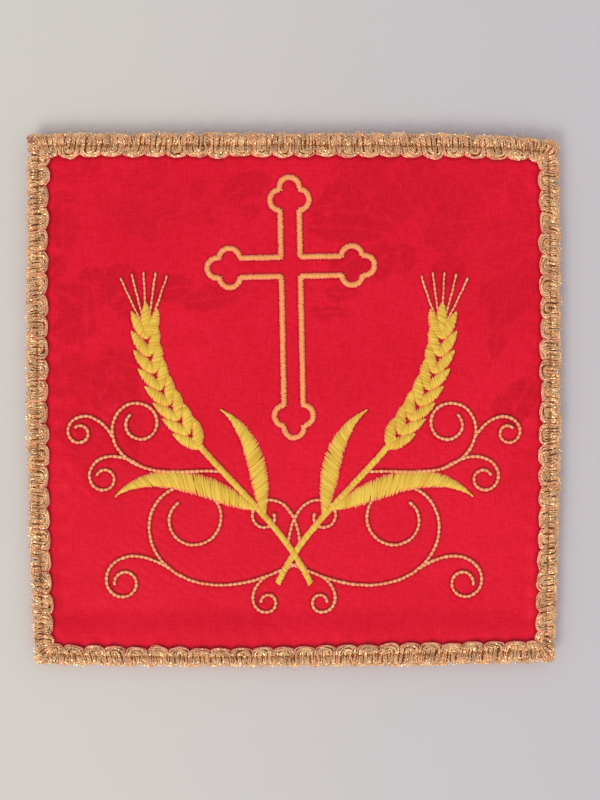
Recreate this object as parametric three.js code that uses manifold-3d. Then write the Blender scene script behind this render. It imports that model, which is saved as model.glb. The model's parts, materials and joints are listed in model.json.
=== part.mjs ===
// A chalice pall: a stiff square of red damask, edged with gold gimp braid and embroidered in gold thread
// with a budded cross above two crossed sprays of wheat and curling tendrils. It lies flat with its face up.
// Millimetres. +X is the right of the face, +Y its head, +Z up. The origin is the middle of the underside.
import * as THREE from "three";
import { mergeVertices } from "three/addons/utils/BufferGeometryUtils.js";
import Module from "manifold-3d";

const wasm = await Module();
wasm.setup();

// Driving dimensions of the square
const OVERALL = 160; // across the braid, from the middle of one side to the middle of the other
const SEAT_GAP = 0.3; // between the cloth and what is sewn on it

// How far each end of a side stays inside the line of its middle. The low end is at the foot or on the left.
// A side with a greater power is straighter along its middle.
const SIDES = {
  foot: { low: 0.8, high: 1.4, power: 2 },
  right: { low: 1.2, high: 1.5, power: 2 },
  head: { low: 0.2, high: 2.1, power: 4 },
  left: { low: 1.6, high: 1.2, power: 2 },
};

// The panel: cloth turned over the edges of a stiff board
const PANEL = { inset: 1.2, thickness: 3.4, edgeRound: 1.1, corner: 2.2, pointsPerSide: 20, roundSteps: 3 };
const FACE_INSETS = [3.4, 5.6, 8.5, 10.4, 12.2, 14.2, 18, 26, 40, 58]; // rings of points, inwards
const FLAT_RIM = { from: 5.6, to: 9 }; // the face is pressed flat under the braid and free further in

// Along the foot the face falls from the rim, then comes up again slowly. The distances are from the edge.
const FOOT_SAG = { depth: 0.7, from: 8.4, lowest: 17, level: 60 };

// Soft troughs and ridges of the face, each a long low swell about its middle
const FOLDS = [
  { x: -67.2, y: -18, turnDeg: -56, reach: 12, spread: 1.6, height: 0.24 },
  { x: -68.6, y: -23, turnDeg: -60, reach: 9, spread: 1.3, height: 0.18 },
  { x: 58, y: 31, turnDeg: 72, reach: 18, spread: 3.0, height: -0.25 },
  { x: -61, y: 53, turnDeg: 40, reach: 14, spread: 3.0, height: -0.2 },
];

// The gimp braid: two rows of looped cords, back to back along a stitched groove
const BRAID = {
  width: 6.6,
  height: 1.3,
  loopsPerSide: 24,
  innerScallop: 1.0,
  outerScallop: 0.7,
  edgeHeight: 0.55,
  grooveHeight: 0.75,
  ridgeAt: 0.24, // share of the width from the groove to a row's crest
  innerCorner: 0.4,
  outerCorner: 1.6,
  cornerLoops: 0.2, // how much of a loop each half of a corner's arc takes
};
const STATIONS_PER_LOOP = 4;

// The embroidered cross: an outline in satin stitch, with three round buds on each arm
const CROSS = { x: -0.97, y: 40.5, leanDeg: 1.15, halfBar: 2.86, line: 1.65, height: 0.7 };
const ARM_LENGTHS = { right: 25.0, head: 26.6, left: 25.0, foot: 51.2 }; // from the crossing to the tips
const BUD = { tipRadius: 2.95, sideRadius: 3.1, sideOut: 2.75, sideBack: 6.7, arcSteps: 6 };

// The sprays. A stroke springs from its parent at a share of the parent's length, turned from its heading,
// and its bend (radians a millimetre) changes evenly from the first of its bends to the second.
const STEM_ROOT = { x: -5, y: -55, headingDeg: 66 };
const STROKES = [
  { name: "stem", parent: null, share: 0, turnDeg: 0, length: 92, bends: [-0.018, 0.026] },
  { name: "outerLeaf", parent: "stem", share: 0.3, turnDeg: -24, length: 46, bends: [0.006, -0.055] },
  { name: "innerLeaf", parent: "stem", share: 0.27, turnDeg: 34, length: 36, bends: [0.004, -0.052] },
  { name: "lowScroll", parent: "stem", share: 0.08, turnDeg: -84, length: 122, bends: [0.002, 0.15] },
  { name: "lowCurl", parent: "lowScroll", share: 0.34, turnDeg: -8, length: 50, bends: [-0.01, -0.34] },
  { name: "footCurl", parent: "lowScroll", share: 0.09, turnDeg: -18, length: 27, bends: [-0.05, -0.5] },
  { name: "midScroll", parent: "stem", share: 0.47, turnDeg: -40, length: 80, bends: [-0.034, 0.25] },
  { name: "midCurl", parent: "midScroll", share: 0.3, turnDeg: 12, length: 40, bends: [-0.004, -0.4] },
  { name: "highCurl", parent: "midScroll", share: 0.47, turnDeg: -20, length: 34, bends: [-0.02, -0.46] },
  { name: "heartCurl", parent: "stem", share: 0.15, turnDeg: 46, length: 38, bends: [-0.012, 0.36] },
];
const TENDRILS = ["lowScroll", "lowCurl", "footCurl", "midScroll", "midCurl", "highCurl", "heartCurl"];
const TENDRIL = { width: 1.15, height: 0.5 };
const STEM = { width: 1.9, height: 0.7, untilShare: 0.62 };
const LEAF = { height: 0.75, fullness: 0.9, belly: 0.8, widths: { outerLeaf: 6.4, innerLeaf: 5.4 } };
const GRAIN = { length: 9.2, width: 3.4, height: 0.95, splayDeg: 30, curl: 0.06, fullness: 0.7, belly: 0.8 };
const GRAIN_SHARES = [0, 0.15, 0.45, 0.8, 1];
const EAR = { pairs: 8, fromShare: 0.58, toShare: 0.98, tipLength: 9 };
const AWN = { count: 5, spreadDeg: 48, start: 4, length: 14, bend: 0.012, width: 0.75, height: 0.45 };
const POINT_WIDTH = 0.35; // the narrowest that a tapered stroke gets
const THIN_STITCH = 0.6; // a line lower than this is a single thread's ridge
const STEP = { length: 6, turn: 0.55 }; // the most millimetres and radians between sections of a stroke
const SAME_POINT = 0.05; // two points of an outline that lie closer are one

const radians = THREE.MathUtils.degToRad;
const HALF = OVERALL / 2;
const EMBROIDERY_BASE = PANEL.thickness + SEAT_GAP;

// A closed surface over a row of rings with equal numbers of points. A closed row ends where it begins,
// and an open one is capped with a point in the middle of its first and last ring.
function skin(rings, closed) {
  const around = rings[0].length;
  const positions = rings.flat().flatMap((p) => [p.x, p.y, p.z]);
  const index = [];
  const spans = closed ? rings.length : rings.length - 1;
  for (let i = 0; i < spans; i++) {
    const here = i * around;
    const next = ((i + 1) % rings.length) * around;
    for (let j = 0; j < around; j++) {
      const k = (j + 1) % around;
      index.push(here + j, here + k, next + k, here + j, next + k, next + j);
    }
  }
  if (!closed) {
    for (const [ring, flip] of [[0, true], [rings.length - 1, false]]) {
      const middle = positions.length / 3;
      const centre = rings[ring].reduce((sum, p) => sum.add(p), new THREE.Vector3()).divideScalar(around);
      positions.push(centre.x, centre.y, centre.z);
      for (let j = 0; j < around; j++) {
        const a = ring * around + j;
        const b = ring * around + ((j + 1) % around);
        index.push(middle, ...(flip ? [b, a] : [a, b]));
      }
    }
  }
  const geometry = new THREE.BufferGeometry();
  geometry.setAttribute("position", new THREE.Float32BufferAttribute(positions, 3));
  geometry.setIndex(index);
  geometry.computeVertexNormals();
  return geometry;
}

// How far a side has dropped from the line of its middle, at a place along it
function endDrop({ low, high, power }, place) {
  return (place < 0 ? low : high) * Math.abs(place / HALF) ** power;
}

// A point on a square with round corners. The share goes once round from the lower left corner, and the
// corner arcs always take the same share of a side, so that larger and smaller squares stay in step.
function squarePoint(share, half, corner) {
  const side = Math.floor(share * 4);
  const along = share * 4 - side;
  const arcShare = BRAID.cornerLoops / BRAID.loopsPerSide;
  const straight = half - corner;
  let x = THREE.MathUtils.mapLinear(along, arcShare, 1 - arcShare, -straight, straight);
  let y = -half;
  const past = along < arcShare ? along / arcShare - 1 : Math.max(0, (along - 1 + arcShare) / arcShare);
  if (past !== 0) {
    const angle = (past * Math.PI) / 4;
    x = Math.sign(past) * straight + corner * Math.sin(angle);
    y = -straight - corner * Math.cos(angle);
  }
  const turned = new THREE.Vector2(x, y).rotateAround(new THREE.Vector2(), (side * Math.PI) / 2);
  return new THREE.Vector2(
    turned.x * (1 - endDrop(turned.x < 0 ? SIDES.left : SIDES.right, turned.y) / HALF),
    turned.y * (1 - endDrop(turned.y < 0 ? SIDES.foot : SIDES.head, turned.x) / HALF),
  );
}

// How far the face stands above or below its flat level
function faceRelief(x, y) {
  const edge = HALF - PANEL.inset;
  const free = THREE.MathUtils.smoothstep(edge - Math.max(Math.abs(x), Math.abs(y)), FLAT_RIM.from, FLAT_RIM.to);
  const fall = THREE.MathUtils.smoothstep(y + edge, FOOT_SAG.from, FOOT_SAG.lowest);
  const climb = THREE.MathUtils.smoothstep(y + edge, FOOT_SAG.lowest, FOOT_SAG.level);
  const swell = FOLDS.reduce((sum, fold) => {
    const turn = radians(fold.turnDeg);
    const along = (x - fold.x) * Math.cos(turn) + (y - fold.y) * Math.sin(turn);
    const across = (y - fold.y) * Math.cos(turn) - (x - fold.x) * Math.sin(turn);
    return sum + fold.height * Math.exp(-((along / fold.reach) ** 2) - (across / fold.spread) ** 2);
  }, 0);
  return free * (swell - FOOT_SAG.depth * fall * (1 - climb));
}

function panelRing(inset, z, raised) {
  const half = HALF - PANEL.inset - inset;
  const corner = Math.max(PANEL.corner - inset, 0.3);
  const count = 4 * PANEL.pointsPerSide;
  return Array.from({ length: count }, (_, i) => {
    const p = squarePoint(i / count, half, corner);
    return new THREE.Vector3(p.x, p.y, z + (raised ? faceRelief(p.x, p.y) : 0));
  });
}

function panelGeometry() {
  const round = PANEL.edgeRound;
  const rings = [];
  for (const top of [false, true]) {
    for (let i = 0; i <= PANEL.roundSteps; i++) {
      const angle = (Math.PI / 2) * (top ? i / PANEL.roundSteps : 1 - i / PANEL.roundSteps);
      const inset = round * (1 - Math.cos(angle));
      const rise = round * (1 - Math.sin(angle));
      rings.push(panelRing(inset, top ? PANEL.thickness - rise : rise, false));
    }
  }
  FACE_INSETS.forEach((inset) => rings.push(panelRing(inset, PANEL.thickness, true)));
  return skin(rings, false);
}

// A point of the braid: across runs from -0.5 at its inner edge to 0.5 at its outer one.
function braidPoint(share, across, z) {
  const half = HALF - BRAID.width / 2 + across * BRAID.width;
  const corner = THREE.MathUtils.lerp(BRAID.innerCorner, BRAID.outerCorner, across + 0.5);
  const p = squarePoint(share, half, corner);
  return new THREE.Vector3(p.x, p.y, z);
}

// How far a row of loops falls short of its full width: 0 at a loop's crest, 1 in the notch beside it
const notch = (phase) => 1 - Math.abs(Math.sin(Math.PI * phase)) ** 0.6;

function braidGeometry() {
  const count = 4 * BRAID.loopsPerSide * STATIONS_PER_LOOP;
  const base = EMBROIDERY_BASE;
  const rings = Array.from({ length: count }, (_, i) => {
    const loop = i / STATIONS_PER_LOOP;
    const share = i / count;
    const inner = -0.5 + (BRAID.innerScallop / BRAID.width) * notch(loop);
    const outer = 0.5 - (BRAID.outerScallop / BRAID.width) * notch(loop + 0.5);
    return [
      braidPoint(share, inner, base),
      braidPoint(share, inner, base + BRAID.edgeHeight),
      braidPoint(share, -BRAID.ridgeAt, base + BRAID.height),
      braidPoint(share, 0, base + BRAID.grooveHeight),
      braidPoint(share, BRAID.ridgeAt, base + BRAID.height),
      braidPoint(share, outer, base + BRAID.edgeHeight),
      braidPoint(share, outer, base),
    ];
  });
  return skin(rings, true);
}

// The section of a stitched line: flat below, sloped at its sides, and level or, if thin, pointed on top
function stitchSection(point, normal, width, height) {
  const at = (side, rise) =>
    new THREE.Vector3(point.x + normal.x * side, point.y + normal.y * side, EMBROIDERY_BASE + rise);
  const top = height < THIN_STITCH ? [at(0, height)] : [at(width / 4, height), at(-width / 4, height)];
  return [at(width / 2, 0), ...top, at(-width / 2, 0)];
}

// The outline of one arm, from the inner corner on its right, round its three buds, to the one on its left
function addArm(path, length, turn) {
  const place = (x, y) => new THREE.Vector2(x, y).rotateAround(new THREE.Vector2(), turn);
  const { tipRadius, sideRadius, sideOut, sideBack } = BUD;
  const tip = { x: length - tipRadius, y: 0 };
  const side = { x: length - sideBack, y: -sideOut };
  const apart = Math.hypot(tip.x - side.x, tip.y - side.y);
  const towardsTip = Math.atan2(tip.y - side.y, tip.x - side.x);
  const cosine = (near, far) => (near ** 2 + apart ** 2 - far ** 2) / (2 * near * apart);
  const sideEnd = towardsTip - Math.acos(cosine(sideRadius, tipRadius));
  const tipStart = towardsTip + Math.PI + Math.acos(cosine(tipRadius, sideRadius));
  const sideStart = Math.PI - Math.asin((sideOut - CROSS.halfBar) / sideRadius);
  const arcs = [
    { centre: side, radius: sideRadius, from: sideStart, to: sideEnd + 2 * Math.PI },
    { centre: tip, radius: tipRadius, from: tipStart - 2 * Math.PI, to: 2 * Math.PI - tipStart },
    { centre: { x: side.x, y: sideOut }, radius: sideRadius, from: -sideEnd, to: 2 * Math.PI - sideStart },
  ];
  path.push(place(CROSS.halfBar, -CROSS.halfBar));
  for (const arc of arcs) {
    for (let i = 0; i <= BUD.arcSteps; i++) {
      const angle = THREE.MathUtils.lerp(arc.from, arc.to, i / BUD.arcSteps);
      const [out, over] = [arc.radius * Math.cos(angle), arc.radius * Math.sin(angle)];
      path.push(place(arc.centre.x + out, arc.centre.y + over));
    }
  }
}

function crossOutline() {
  const path = [];
  Object.values(ARM_LENGTHS).forEach((length, quarter) => addArm(path, length, (quarter * Math.PI) / 2));
  const distinct = path.filter((p, i) => p.distanceTo(path[(i + 1) % path.length]) > SAME_POINT);
  const crossing = new THREE.Vector2(CROSS.x, CROSS.y);
  return distinct.map((p) => p.add(crossing).rotateAround(crossing, radians(CROSS.leanDeg)));
}

function crossGeometry() {
  const path = crossOutline();
  const rings = path.map((p, i) => {
    const before = path.at(i - 1);
    const after = path[(i + 1) % path.length];
    const into = p.clone().sub(before).normalize();
    const out = after.clone().sub(p).normalize();
    const mean = into.clone().add(out).normalize();
    const mitre = 1 / Math.max(0.6, mean.dot(into));
    return stitchSection(p, { x: -mean.y * mitre, y: mean.x * mitre }, CROSS.line, CROSS.height);
  });
  return skin(rings, true);
}

// A curve whose bend changes evenly along it, as points with their headings, more of them where it turns
function sweep({ x, y, heading, length, bends: [bendStart, bendEnd] }) {
  const fine = Math.ceil(length * 4);
  const ds = length / fine;
  const bendAt = (s) => THREE.MathUtils.lerp(bendStart, bendEnd, s / length);
  const turnTo = (s) => heading + bendStart * s + ((bendEnd - bendStart) * s * s) / (2 * length);
  const points = [{ x, y, heading, share: 0 }];
  let strain = 0;
  let here = { x, y };
  for (let i = 1; i <= fine; i++) {
    const middle = turnTo((i - 0.5) * ds);
    here = { x: here.x + Math.cos(middle) * ds, y: here.y + Math.sin(middle) * ds };
    strain += ds / STEP.length + (Math.abs(bendAt(i * ds)) * ds) / STEP.turn;
    if (strain >= 1 || i === fine) {
      points.push({ ...here, heading: turnTo(i * ds), share: i / fine });
      strain = 0;
    }
  }
  return points;
}

// The point and heading at a share of a stroke's length
function along(stroke, share) {
  const after = Math.max(1, stroke.findIndex((p) => p.share >= share));
  const [a, b] = [stroke[after - 1], stroke[after]];
  const t = (share - a.share) / (b.share - a.share);
  const mix = (key) => THREE.MathUtils.lerp(a[key], b[key], t);
  return { x: mix("x"), y: mix("y"), heading: mix("heading") };
}

// A stroke of stitches whose width follows a function of the share of its length
function strokeGeometry(points, widthAt, height, mirrored) {
  const side = mirrored ? -1 : 1;
  const rings = points.map((p) => {
    const normal = { x: -Math.sin(p.heading) * side, y: Math.cos(p.heading) };
    const placed = { x: p.x * side, y: p.y };
    return stitchSection(placed, normal, Math.max(POINT_WIDTH, widthAt(p.share)), height);
  });
  return skin(mirrored ? rings.map((ring) => ring.reverse()) : rings, false);
}

const bladeWidth = (width, { fullness, belly }) => (share) =>
  width * Math.sin(Math.PI * Math.min(1, share ** belly)) ** fullness;

// All the strokes of the right spray, each as its points, its width and its height
function sprayStrokes() {
  const curves = {};
  for (const row of STROKES) {
    const root = row.parent
      ? along(curves[row.parent], row.share)
      : { ...STEM_ROOT, heading: radians(STEM_ROOT.headingDeg) };
    curves[row.name] = sweep({ ...row, ...root, heading: root.heading + radians(row.turnDeg) });
  }
  const strokes = [];
  const stem = curves.stem;
  const bareStem = stem.filter((p) => p.share < STEM.untilShare);
  bareStem.push({ ...along(stem, STEM.untilShare), share: STEM.untilShare });
  strokes.push({ points: bareStem, widthAt: () => STEM.width, height: STEM.height });
  for (const name of TENDRILS) {
    strokes.push({ points: curves[name], widthAt: () => TENDRIL.width, height: TENDRIL.height });
  }
  for (const [name, width] of Object.entries(LEAF.widths)) {
    strokes.push({ points: curves[name], widthAt: bladeWidth(width, LEAF), height: LEAF.height });
  }
  const grain = (root, turn, length, curl) => {
    const heading = root.heading + turn;
    const points = sweep({ ...root, heading, length, bends: [0, curl] });
    const widthAt = bladeWidth(GRAIN.width, GRAIN);
    strokes.push({ points: resample(points), widthAt, height: GRAIN.height });
  };
  for (let i = 0; i < EAR.pairs; i++) {
    const root = along(stem, THREE.MathUtils.lerp(EAR.fromShare, EAR.toShare, i / (EAR.pairs - 1)));
    for (const side of [1, -1]) {
      grain(root, side * radians(GRAIN.splayDeg), GRAIN.length, -side * GRAIN.curl);
    }
  }
  const tip = stem.at(-1);
  grain(tip, 0, EAR.tipLength, 0);
  for (let i = 0; i < AWN.count; i++) {
    const swing = i / (AWN.count - 1) - 0.5;
    const heading = tip.heading + swing * radians(AWN.spreadDeg);
    const root = { x: tip.x + AWN.start * Math.cos(heading), y: tip.y + AWN.start * Math.sin(heading) };
    const points = sweep({ ...root, heading, length: AWN.length, bends: [0, -2 * swing * AWN.bend] });
    strokes.push({ points, widthAt: () => AWN.width, height: AWN.height });
  }
  return strokes;
}

// A grain's points where its sides turn most
function resample(points) {
  return GRAIN_SHARES.map((share) => ({ ...along(points, share), share }));
}

// Joins closed geometries into one solid
function fuse(geometries) {
  const solids = geometries.map((geometry) => {
    const bare = geometry.clone();
    bare.deleteAttribute("normal");
    const merged = mergeVertices(bare);
    const mesh = new wasm.Mesh({
      numProp: 3,
      vertProperties: new Float32Array(merged.attributes.position.array),
      triVerts: new Uint32Array(merged.index.array),
    });
    return new wasm.Manifold(mesh);
  });
  const { vertProperties, triVerts } = solids.reduce((sum, solid) => sum.add(solid)).getMesh();
  const joined = new THREE.BufferGeometry();
  joined.setAttribute("position", new THREE.Float32BufferAttribute(vertProperties, 3));
  joined.setIndex([...triVerts]);
  joined.computeVertexNormals();
  return joined;
}

function sprayGeometry() {
  const both = [false, true].flatMap((mirrored) =>
    sprayStrokes().map(({ points, widthAt, height }) => strokeGeometry(points, widthAt, height, mirrored)),
  );
  return fuse(both);
}

const damask = new THREE.MeshStandardMaterial({ color: 0xd6192f, roughness: 0.55, metalness: 0 });
const goldBraid = new THREE.MeshStandardMaterial({ color: 0xcfa465, roughness: 0.35, metalness: 0.8 });
const goldThread = new THREE.MeshStandardMaterial({ color: 0xd8b048, roughness: 0.45, metalness: 0.1 });

function piece(name, geometry, material) {
  const mesh = new THREE.Mesh(geometry, material);
  mesh.name = name;
  return mesh;
}

const pall = new THREE.Group();
pall.add(piece("pall_panel", panelGeometry(), damask));
pall.add(piece("gimp_braid", braidGeometry(), goldBraid));
pall.add(piece("cross_embroidery", crossGeometry(), goldThread));
pall.add(piece("spray_embroidery", sprayGeometry(), goldThread));

export default pall;
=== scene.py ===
"""Dresses a chalice pall: stiff red damask, gold gimp braid round its rim, and gold embroidery
of a budded cross above crossed sprays of wheat. Sizes are in millimetres until a mesh is made from them."""
import json
import logging
import math
from dataclasses import dataclass, field
from enum import Enum
from typing import Any, Callable, Iterable

import bpy
import numpy as np
from mathutils import Matrix, Vector
from mathutils.kdtree import KDTree

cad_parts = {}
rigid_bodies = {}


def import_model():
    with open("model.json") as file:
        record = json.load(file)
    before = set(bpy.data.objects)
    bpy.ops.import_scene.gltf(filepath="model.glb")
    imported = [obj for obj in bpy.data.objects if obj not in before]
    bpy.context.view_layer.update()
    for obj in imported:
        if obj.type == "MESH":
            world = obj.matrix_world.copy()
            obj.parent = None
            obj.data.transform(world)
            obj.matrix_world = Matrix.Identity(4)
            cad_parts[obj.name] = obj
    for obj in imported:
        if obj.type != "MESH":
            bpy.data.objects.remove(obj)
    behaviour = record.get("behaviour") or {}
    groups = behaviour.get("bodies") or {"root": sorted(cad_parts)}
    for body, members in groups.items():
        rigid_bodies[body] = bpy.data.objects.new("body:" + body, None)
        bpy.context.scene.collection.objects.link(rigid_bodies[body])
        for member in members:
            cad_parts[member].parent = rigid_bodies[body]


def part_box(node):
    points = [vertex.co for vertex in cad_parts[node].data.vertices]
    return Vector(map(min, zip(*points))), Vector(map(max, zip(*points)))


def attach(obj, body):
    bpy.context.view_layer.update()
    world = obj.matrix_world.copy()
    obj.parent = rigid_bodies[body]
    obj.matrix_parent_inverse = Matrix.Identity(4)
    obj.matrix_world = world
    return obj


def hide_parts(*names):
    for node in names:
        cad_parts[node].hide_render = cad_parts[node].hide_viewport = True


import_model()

LOG = logging.getLogger("chalice_pall")
MM = 0.001
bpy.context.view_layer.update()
BODY = "root"
RIM_SEED = 71  # the braid's inner edge is drawn twice, as a cord and for the painted shade beside it
PANEL_INSET = 1.2  # the braid reaches this far past the panel
SEAT_GAP = 0.3  # the solids leave this much between the cloth and what is sewn on it
FACE_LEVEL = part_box("gimp_braid")[0][2] / MM - SEAT_GAP
OVERALL = (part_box("gimp_braid")[1][0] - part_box("gimp_braid")[0][0]) / MM

FAR_OFF = 50.0  # stands for a place well away from the woven figure
NEAR_REACH = 12.0  # the sewing has no effect on the cloth past this distance

Colour = tuple[float, float, float]
Place = tuple[float, float, float]
Shares = np.ndarray
WidthRule = Callable[[Shares], np.ndarray]


def linear(colour: Colour, alpha: float = 1.0) -> tuple[float, float, float, float]:
    """Turns a colour as it shows on a screen into the light that a shader mixes.

    Args:
        colour: red, green and blue from 0 to 255.
        alpha: how opaque the colour is.

    Returns:
        Red, green, blue and alpha from 0 to 1.
    """
    shares = [c / 255 for c in colour]
    light = [s / 12.92 if s <= 0.04045 else ((s + 0.055) / 1.055) ** 2.4 for s in shares]
    return (*light, alpha)


def smooth_step(value: np.ndarray, low: float, high: float) -> np.ndarray:
    """Eases from 0 at low to 1 at high."""
    t = np.clip((value - low) / (high - low), 0, 1)
    return t * t * (3 - 2 * t)


def along_and_across(x: np.ndarray, y: np.ndarray, turn_deg: float) -> tuple[np.ndarray, np.ndarray]:
    """Measures places along a heading and square to it."""
    turn = math.radians(turn_deg)
    return x * math.cos(turn) + y * math.sin(turn), y * math.cos(turn) - x * math.sin(turn)


def even_width(width: float) -> WidthRule:
    """Makes the rule for a stroke of one width."""
    return lambda shares: np.full_like(shares, width)


def set_attribute(mesh: bpy.types.Mesh, name: str, values: np.ndarray) -> None:
    """Stores a number or a vector at each point of a mesh."""
    kind, key = ("FLOAT", "value") if values.ndim == 1 else ("FLOAT_VECTOR", "vector")
    mesh.attributes.new(name, kind, "POINT").data.foreach_set(key, values.ravel())


def add_to_scene(name: str, data: bpy.types.ID) -> bpy.types.Object:
    """Makes an object and links it to the scene.

    Args:
        name: the object's name.
        data: its mesh, light or camera.

    Returns:
        The object.
    """
    made = bpy.data.objects.new(name, data)
    bpy.context.scene.collection.objects.link(made)
    return made


class Weaver:
    """Adds nodes to a tree and links them in one call each."""

    def __init__(self, tree: bpy.types.NodeTree) -> None:
        """Starts on a tree, without what it held.

        Args:
            tree: the node tree to fill.
        """
        self.tree = tree
        tree.nodes.clear()

    def add(self, kind: str, inputs: dict[Any, Any] | None = None, **settings: Any) -> bpy.types.Node:
        """Adds a node.

        Args:
            kind: the node's type.
            inputs: for each socket, by name or number, a value or the socket that feeds it.
            settings: the node's own properties.

        Returns:
            The new node.
        """
        made = self.tree.nodes.new(kind)
        for name, value in settings.items():
            setattr(made, name, value)
        self.feed(made, inputs or {})
        return made

    def feed(self, node: bpy.types.Node, inputs: dict[Any, Any]) -> None:
        """Sets a node's inputs.

        Args:
            node: the node to set.
            inputs: for each socket, by name or number, a value or the socket that feeds it.
        """
        for key, value in inputs.items():
            if isinstance(value, bpy.types.NodeSocket):
                self.tree.links.new(value, node.inputs[key])
            else:
                node.inputs[key].default_value = value

    def math(self, operation: str, *values: Any, clamp: bool = False) -> bpy.types.NodeSocket:
        """Adds a Math node and returns its result."""
        made = self.add("ShaderNodeMath", dict(enumerate(values)), operation=operation, use_clamp=clamp)
        return made.outputs[0]

    def ramp(
        self, value: Any, low: float, high: float, start: float = 0.0, end: float = 1.0
    ) -> bpy.types.NodeSocket:
        """Eases a value's range into another.

        Args:
            value: the socket to ease.
            low: where the result is start.
            high: where the result is end.
            start: the first result.
            end: the last result.

        Returns:
            The eased value's socket.
        """
        sockets = {"Value": value, "From Min": low, "From Max": high, "To Min": start, "To Max": end}
        return self.add("ShaderNodeMapRange", sockets, interpolation_type="SMOOTHSTEP").outputs["Result"]

    def mix(self, share: Any, first: Any, second: Any) -> bpy.types.NodeSocket:
        """Mixes two colours and returns the result."""
        made = self.add("ShaderNodeMix", {0: share, 6: first, 7: second}, data_type="RGBA")
        return made.outputs[2]

    def times(self, first: Any, second: Any) -> bpy.types.NodeSocket:
        """Multiplies two colours and returns the result."""
        inputs = {0: 1.0, 6: first, 7: second}
        made = self.add("ShaderNodeMix", inputs, data_type="RGBA", blend_type="MULTIPLY")
        return made.outputs[2]

    def noise(self, place: Any, scale: float, detail: float = 2.0) -> bpy.types.NodeSocket:
        """Adds a noise and returns its height, which is near a half."""
        made = self.add("ShaderNodeTexNoise", {"Vector": place, "Scale": scale, "Detail": detail})
        return made.outputs["Fac"]

    def stretched(self, place: Any, scale: tuple[float, float, float]) -> bpy.types.NodeSocket:
        """Stretches a place along each axis and returns it."""
        return self.add("ShaderNodeMapping", {"Vector": place, "Scale": scale}).outputs["Vector"]

    def attribute(self, name: str, output: str = "Fac") -> bpy.types.NodeSocket:
        """Reads an attribute of the mesh."""
        return self.add("ShaderNodeAttribute", attribute_name=name).outputs[output]

    def bump(self, height: Any, strength: float, distance: float) -> bpy.types.NodeSocket:
        """Turns a height into a bump, its distance in millimetres, and returns the normal."""
        inputs = {"Height": height, "Strength": strength, "Distance": distance * MM}
        return self.add("ShaderNodeBump", inputs).outputs[0]

    def store(self, geometry: Any, name: str, value: Any, domain: str = "POINT") -> bpy.types.NodeSocket:
        """Stores a number on a geometry.

        Args:
            geometry: what to store it on.
            name: the attribute's name.
            value: the number's socket.
            domain: what carries it, a point or an instance.

        Returns:
            The geometry with the attribute.
        """
        inputs = {"Geometry": geometry, "Name": name, "Value": value}
        made = self.add("GeometryNodeStoreNamedAttribute", inputs, data_type="FLOAT", domain=domain)
        return made.outputs[0]


class Finish:
    """A material that is made once, when it is first asked for."""

    name: str = "finish"

    def material(self) -> bpy.types.Material:
        """Gives the finish's material.

        Returns:
            The material, built on the first call.
        """
        known = bpy.data.materials.get(self.name)
        if known:
            return known
        made = bpy.data.materials.new(self.name)
        made.use_nodes = True
        nodes = Weaver(made.node_tree)
        shader = nodes.add("ShaderNodeBsdfPrincipled")
        nodes.add("ShaderNodeOutputMaterial", {"Surface": shader.outputs[0]})
        self.weave(nodes, shader)
        return made

    def weave(self, nodes: Weaver, shader: bpy.types.Node) -> None:
        """Adds the finish's own nodes.

        Args:
            nodes: the material's tree.
            shader: the shader that they feed.
        """
        raise NotImplementedError


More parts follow.
